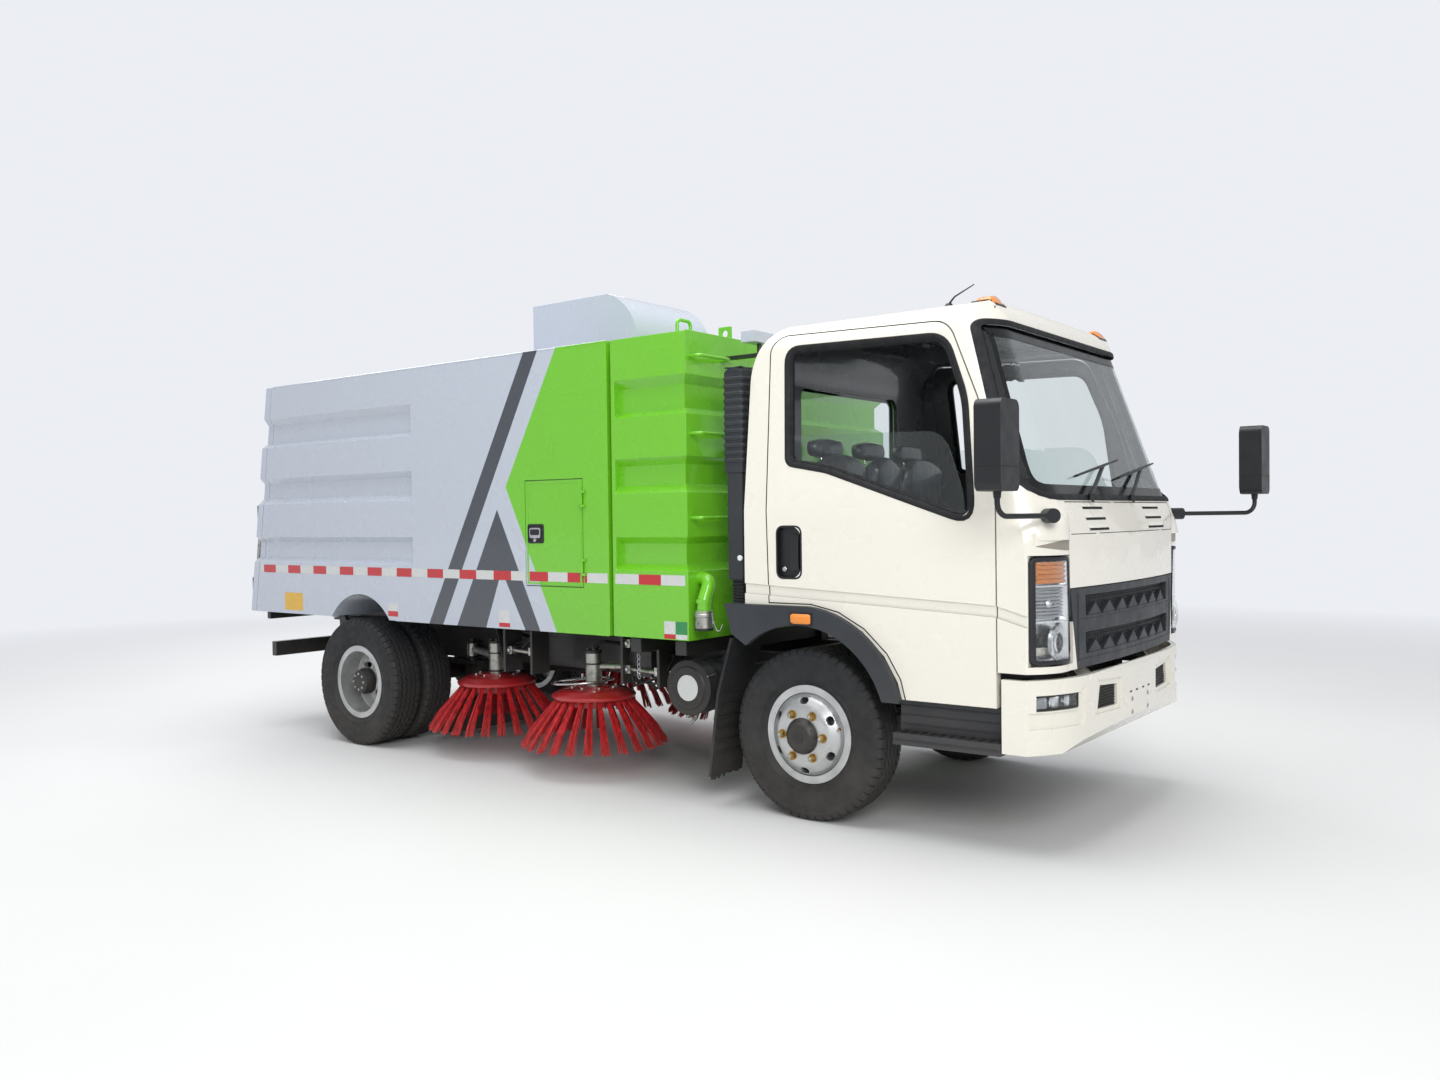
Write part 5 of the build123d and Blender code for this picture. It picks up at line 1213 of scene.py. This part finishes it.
fitting = Piece("tank_coupling")
for key, sides, profile in (
        ("zinc", 36, [(872, 33), (872, 44), (884, 46), (888, 43.5), (930, 43.5), (934, 47), (946, 47),
                      (950, 43.5), (962, 43.5), (966, 36), (966, 35.5), (876, 33)]),
        ("green", 32, [(1000, 35), (1000, 38), (1010, 38.5), (1020, 38), (1020, 35)]),
        ("dark", 36, [(866.5, 34), (866.5, 46), (876, 47.5), (880, 44), (872, 33)])):
    fitting.use(key).lathe(profile, (*PIPE, 0), UP, sides)
fitting.use("zinc")
for a in (0.4, 2.5, 4.6):
    fitting.rod((*polar(*PIPE, 42, a), 904), (*polar(*PIPE, 54, a), 904), 8, 12)
chain = [(PIPE[0] + 46, PIPE[1] + 4, 952)]
chain += [(PIPE[0] + 46 + 46 * t, PIPE[1] + 30 * t, 952 - 90 * sin(pi * t * 0.8)) for t in
          (0.15, 0.3, 0.5, 0.7, 0.85, 1.0)]
fitting.use("steel").tube(chain, 3, 8)
fitting.done("chassis", "bright_steel", bevel=0.0006, angle=35)

seams = Piece("tank_edges").use("green")
for s in (-1, 1):
    x, y = TANK_FRONT - 1.5, s * (BODY_HALF - 1.5)
    for z0, z1 in ((BODY_LOW + 2, 1153), (1330, 1547), (1732, 1937), (2136, BODY_HIGH - 2)):
        seams.rod((x, y, z0), (x, y, z1), 3.2, 10)
seams.tube([(TANK_FRONT - 4, y, BODY_HIGH + 1) for y in steps(-975, 975, 6)], 4, 8)
seams.use("grey").box(-452, -372, -760, -560, 2290, 2344)
seams.use("black").rod((-412, -660, 2240), (-412, -660, 2292), 12, 12)
seams.box(-640, -400, -676, -644, 2226, 2244)
seams.done("chassis", "green_paint", bevel=0.002, angle=35)


# Hopper trim: edge beads, hood seams, hatch fittings and lamps

beads = Piece("hopper_edges").use("body")
for s in (-1, 1):
    y = s * (BODY_HALF - 3)
    beads.tube([(x, y, BODY_HIGH - 1) for x in steps(BODY_REAR_HIGH + 80, -1163, 20)], 5, 8)
    beads.rod((-1164, y, BODY_LOW + 3), (-1164, y, BODY_HIGH - 3), 3.6, 10)
    beads.tube([(x, s * (BODY_HALF - 2.5), BODY_LOW + 1) for x in steps(-2950, -1170, 10)], 4, 8)
beads.done("hopper", "grey_paint", angle=40)

hood = Piece("hood_fittings").use("grey")
hood_top = onto("top", "fan_hood")
for x in (-2300, -2030, -1760):
    hood.tube([hood_top(x, y, 1.0) for y in steps(-340, 340, 10)], 5, 8)
for s in (-1, 1):
    hood.use("grey").box(-2372, -1482, s * 351, s * 382, 2346.5, 2354)
    hood.use("zinc")
    for x in steps(-2340, -1520, 9):
        hood.hexagon((x, s * 369, 2354), UP, 8, 6)
hood.use("dark")
for z in steps(2440, 2640, 8):
    hood.box(-2360, -2354, -240, 240, z, z + 12)
hood.done("hopper", "grey_paint", bevel=0.0015, angle=35)

rear = onto("rear", "rear_hatch")
RIB = ((-34, 0), (-22, 1), (22, 1), (34, 0))
hatch = Piece("hatch_fittings").use("grey")
for y in (-700, -240, 240, 700):
    hatch.loft([[rear(y + d, z, 1 + 19 * up) for d, up in RIB] for z in (890, 1090, 1400, 1700, 2000, 2260)])
for z in (1900, 1180):
    hatch.loft([[rear(y, z + d, 1 + 13 * up) for d, up in RIB] for y in steps(-900, 900, 8)])
for s in (-1, 1):
    hatch.use("black")
    for z in (1000, 1500):
        x = rear(0, z, 0)[0]
        hatch.box(x - 16, x + 26, s * 905, s * 975, z - 45, z + 45)
    ends = [(rear(0, z, 22)[0], s * 940, z + over) for z, over in ((1000, -15), (1500, 15))]
    hatch.use("zinc").rod(*ends, 11, 14)
hatch.tube([rear(y, 990, h) for y, h in ((-150, 4), (-150, 40), (150, 40), (150, 4))], 11, 12)
for key, top, ys in (("tape_red", 16.5, (-840, -500, 40, 380, 720)),
                     ("tape_white", 16, (-670, -330, -160, 210, 550))):
    for y in ys:
        hatch.use(key).patch([y - 75, y + 75], [1060, 1112], rear, 1, top)
hatch.done("hatch", "grey_paint", bevel=0.0015, angle=35)

lamps = Piece("tail_lamp_lenses")
for s in (-1, 1):
    lamps.use("dark").band(rect(s * 482, s * 898, 754, 810, 8),
                           [(-6, -1), (-6, 3), (-2, 5), (1, 3), (1, -1)], tail_bar)
    for y, half, key in ((541, 49, "white_lens"), (647, 53, "red_lens"), (746, 42, "red_lens"),
                         (841, 49, "amber")):
        ys = [s * w for w in steps(y - half, y + half, 10)]
        lamps.use(key).patch(ys, steps(762, 802, 6), tail_bar, -1,
                             lambda u, v: 12 - ((abs(u) - y) / half) ** 4 * 8 - ((v - 782) / 20) ** 4 * 4)
    lamps.use("tape_red").box(UNDERRUN_FACE - 0.4, UNDERRUN_FACE + 2, s * 560, s * 850, 516, 564)
lamps.use("tape_white").box(UNDERRUN_FACE - 0.4, UNDERRUN_FACE + 2, -180, 180, 512, 568)
lamps.done("chassis", "lamp_lens", bevel=0.001, angle=40)


# Steps and what hangs below the body

tread = Piece("step_treads").use("dark")
for s in (-1, 1):
    for k in range(11):
        x = 498 + k * 45
        tread.box(x, x + 22, s * 866, s * 932, 470, 474)
        tread.box(x, x + 22, s * 715, s * 855, 606, 610)
    for y, z in ((935, 440), (860, 500), (860, 540), (860, 580)):
        tread.box(482, 970, s * (y + 0.1), s * (y + 3), z - 4, z + 4)
tread.done("chassis", "charcoal_plastic", bevel=0.0012, angle=40)

under = Piece("underbody_linkage")
for s in (-1, 1):
    for x0, x1, z in ((-1300, -1040, 742), (-1300, -1040, 600), (-2240, -2010, 650)):
        under.use("zinc").rod((x0 + 30, s * 700, z), (x1 - 30, s * 700, z - 8), 13, 14)
        for x in (x0, x1 - 44):
            under.box(x, x + 44, s * 678, s * 722, z - 24, z + 22)
        under.use("steel").hexagon((x0 + 22, s * 722, z), (0, s, 0), 12, 9)
        under.hexagon((x1 - 22, s * 722, z - 4), (0, s, 0), 12, 9)
    under.use("black")
    for x in (-1300, -1040, -2240, -2010):
        under.box(x - 9, x + 9, s * 604, s * 740, 520, 802)
    under.box(-1300, -1130, s * 600, s * 690, 560, 700)
    under.box(-1360, -1010, s * 610, s * 640, 660, 690)
    under.use("steel")
    for k in range(5):
        turn = 3 if k % 2 else -3
        link = [(-1180 + 9 * cos(a), s * 735 + turn * sin(a), 676 - k * 26 + 17 * sin(a)) for a in turns(14)]
        under.tube(link, 2.6, 6, closed=True)
    under.use("rubber")
    for bend, y in ((0, 640), (26, 655), (52, 672)):
        under.tube([(x, s * (y + out), z) for x, out, z in (
            (-1330, 0, 740 - bend), (-1250, 20, 560 - bend), (-1120, 22, 500 + bend), (-1030, 0, 560 + bend),
            (-1010, -60, 700))], 9, 10)
        under.tube([(x, s * (y + out), z) for x, out, z in (
            (-2350, 24, 770), (-2300, 26, 660 - bend), (-2150, 20, 700 - bend), (-2000, 20, 770))], 9, 10)
    for y in (400, 430):
        under.tube([(x, s * y, 742 + 6 * sin(x / 90)) for x in steps(-4200, -700, 36)], 10, 8)
under.use("steel").rod((-540, -800, 690), (-470, -800, 700), 17, 16)
under.use("zinc").tube([(-800, -700, 420), (-800, -720, 380), (-830, -730, 350)], [12, 10, 8], 12)
under.done("chassis", "black_paint", bevel=0.001, angle=40)

fringe = Piece("mudflap_fringe").use("rubber")
rng = random.Random(7)
for s in (-1, 1):
    for k in range(24):
        y = 712 + k * 10.4
        fringe.box(-531, -520, s * y, s * (y + 7.5), 156 - rng.uniform(0, 26), 160)
    for z in range(260, 561, 60):
        x = -517 + (z - 150) * 0.137
        fringe.box(x, x + 5, s * 725, s * 945, z, z + 6)
fringe.done("chassis", "black_rubber", angle=40)


# Camera: fitted to the wheels, the body's edges and the cab's outline in the photograph

CAMERA_AT = (2940, -5396, 1421)
YAW, PITCH, ROLL = radians(37.359), radians(-1.11), radians(-0.726)
FOCAL_PX, PHOTO_PX = 1151.9, 1440

forward = Vector((-sin(YAW) * cos(PITCH), cos(YAW) * cos(PITCH), sin(PITCH)))
right = forward.cross(Vector(UP)).normalized()
up = right.cross(forward)
rolled_right = cos(ROLL) * right + sin(ROLL) * up
rolled_up = -sin(ROLL) * right + cos(ROLL) * up
camera_data = bpy.data.cameras.new("camera")
camera_data.sensor_width = 36
camera_data.lens = FOCAL_PX / PHOTO_PX * 36
camera = bpy.data.objects.new("camera", camera_data)
camera.matrix_world = Matrix.Translation(at(*CAMERA_AT)) @ Matrix(
    (rolled_right, rolled_up, -forward)).transposed().to_4x4()
bpy.context.scene.collection.objects.link(camera)
bpy.context.scene.camera = camera
bpy.context.scene.view_settings.view_transform = "Standard"


# Floor, backdrop light and lamps

BACKDROP = (0.93, 0.95, 1.0, 1)
BACKDROP_STRENGTH, SKY_STRENGTH = 0.9, 0.62
FLOOR_FADE = (5.0, 13.0)

floor_mesh = bpy.data.meshes.new("floor")
floor_mesh.from_pydata([(-60, -60, 0), (60, -60, 0), (60, 60, 0), (-60, 60, 0)], [], [(0, 1, 2, 3)])
floor = bpy.data.objects.new("floor", floor_mesh)
bpy.context.scene.collection.objects.link(floor)
ground = Nodes("pale_floor")
stone = ground.mix(ground.noise(0.8, 4), (0.66, 0.66, 0.65, 1), (0.70, 0.70, 0.69, 1))
ground.set(Base_Color=stone, Roughness=0.8)
reach = ground.node("ShaderNodeVectorMath", {0: ground.place}, operation="LENGTH").outputs["Value"]
haze = ground.node("ShaderNodeEmission", {"Color": BACKDROP, "Strength": BACKDROP_STRENGTH})
fade = ground.node("ShaderNodeMixShader", {0: ground.spread(reach, 0.0, 1.0, *FLOOR_FADE),
                                           1: ground.shader.outputs[0], 2: haze.outputs[0]})
ground.link(fade.outputs[0], ground.tree.nodes["Material Output"].inputs["Surface"])
floor_mesh.materials.append(ground.material)

world = bpy.data.worlds.new("world")
bpy.context.scene.world = world
world.use_nodes = True
sky = world.node_tree
paths, seen, strength = [sky.nodes.new(kind) for kind in
                         ("ShaderNodeLightPath", "ShaderNodeMath", "ShaderNodeMapRange")]
seen.operation = "MAXIMUM"
strength.inputs["To Min"].default_value = SKY_STRENGTH
strength.inputs["To Max"].default_value = BACKDROP_STRENGTH
for source, target in ((paths.outputs["Is Camera Ray"], seen.inputs[0]),
                       (paths.outputs["Is Transmission Ray"], seen.inputs[1]),
                       (seen.outputs[0], strength.inputs["Value"]),
                       (strength.outputs[0], sky.nodes["Background"].inputs["Strength"])):
    sky.links.new(source, target)
sky.nodes["Background"].inputs["Color"].default_value = BACKDROP


def lamp(name, place, target, size, power):
    data = bpy.data.lights.new(name, "AREA")
    data.shape = "DISK"
    data.size = size
    data.energy = power
    thing = bpy.data.objects.new(name, data)
    thing.location = place
    thing.rotation_euler = (Vector(target) - Vector(place)).to_track_quat("-Z", "Y").to_euler()
    bpy.context.scene.collection.objects.link(thing)


lamp("overhead", (0, -1, 9), (0, 0, 0), 9, 700)
lamp("front_key", (8, -8, 6), (0.5, 0, 1), 5, 520)
lamp("rear_fill", (-8, 5, 5), (0, 0, 1), 5, 260)
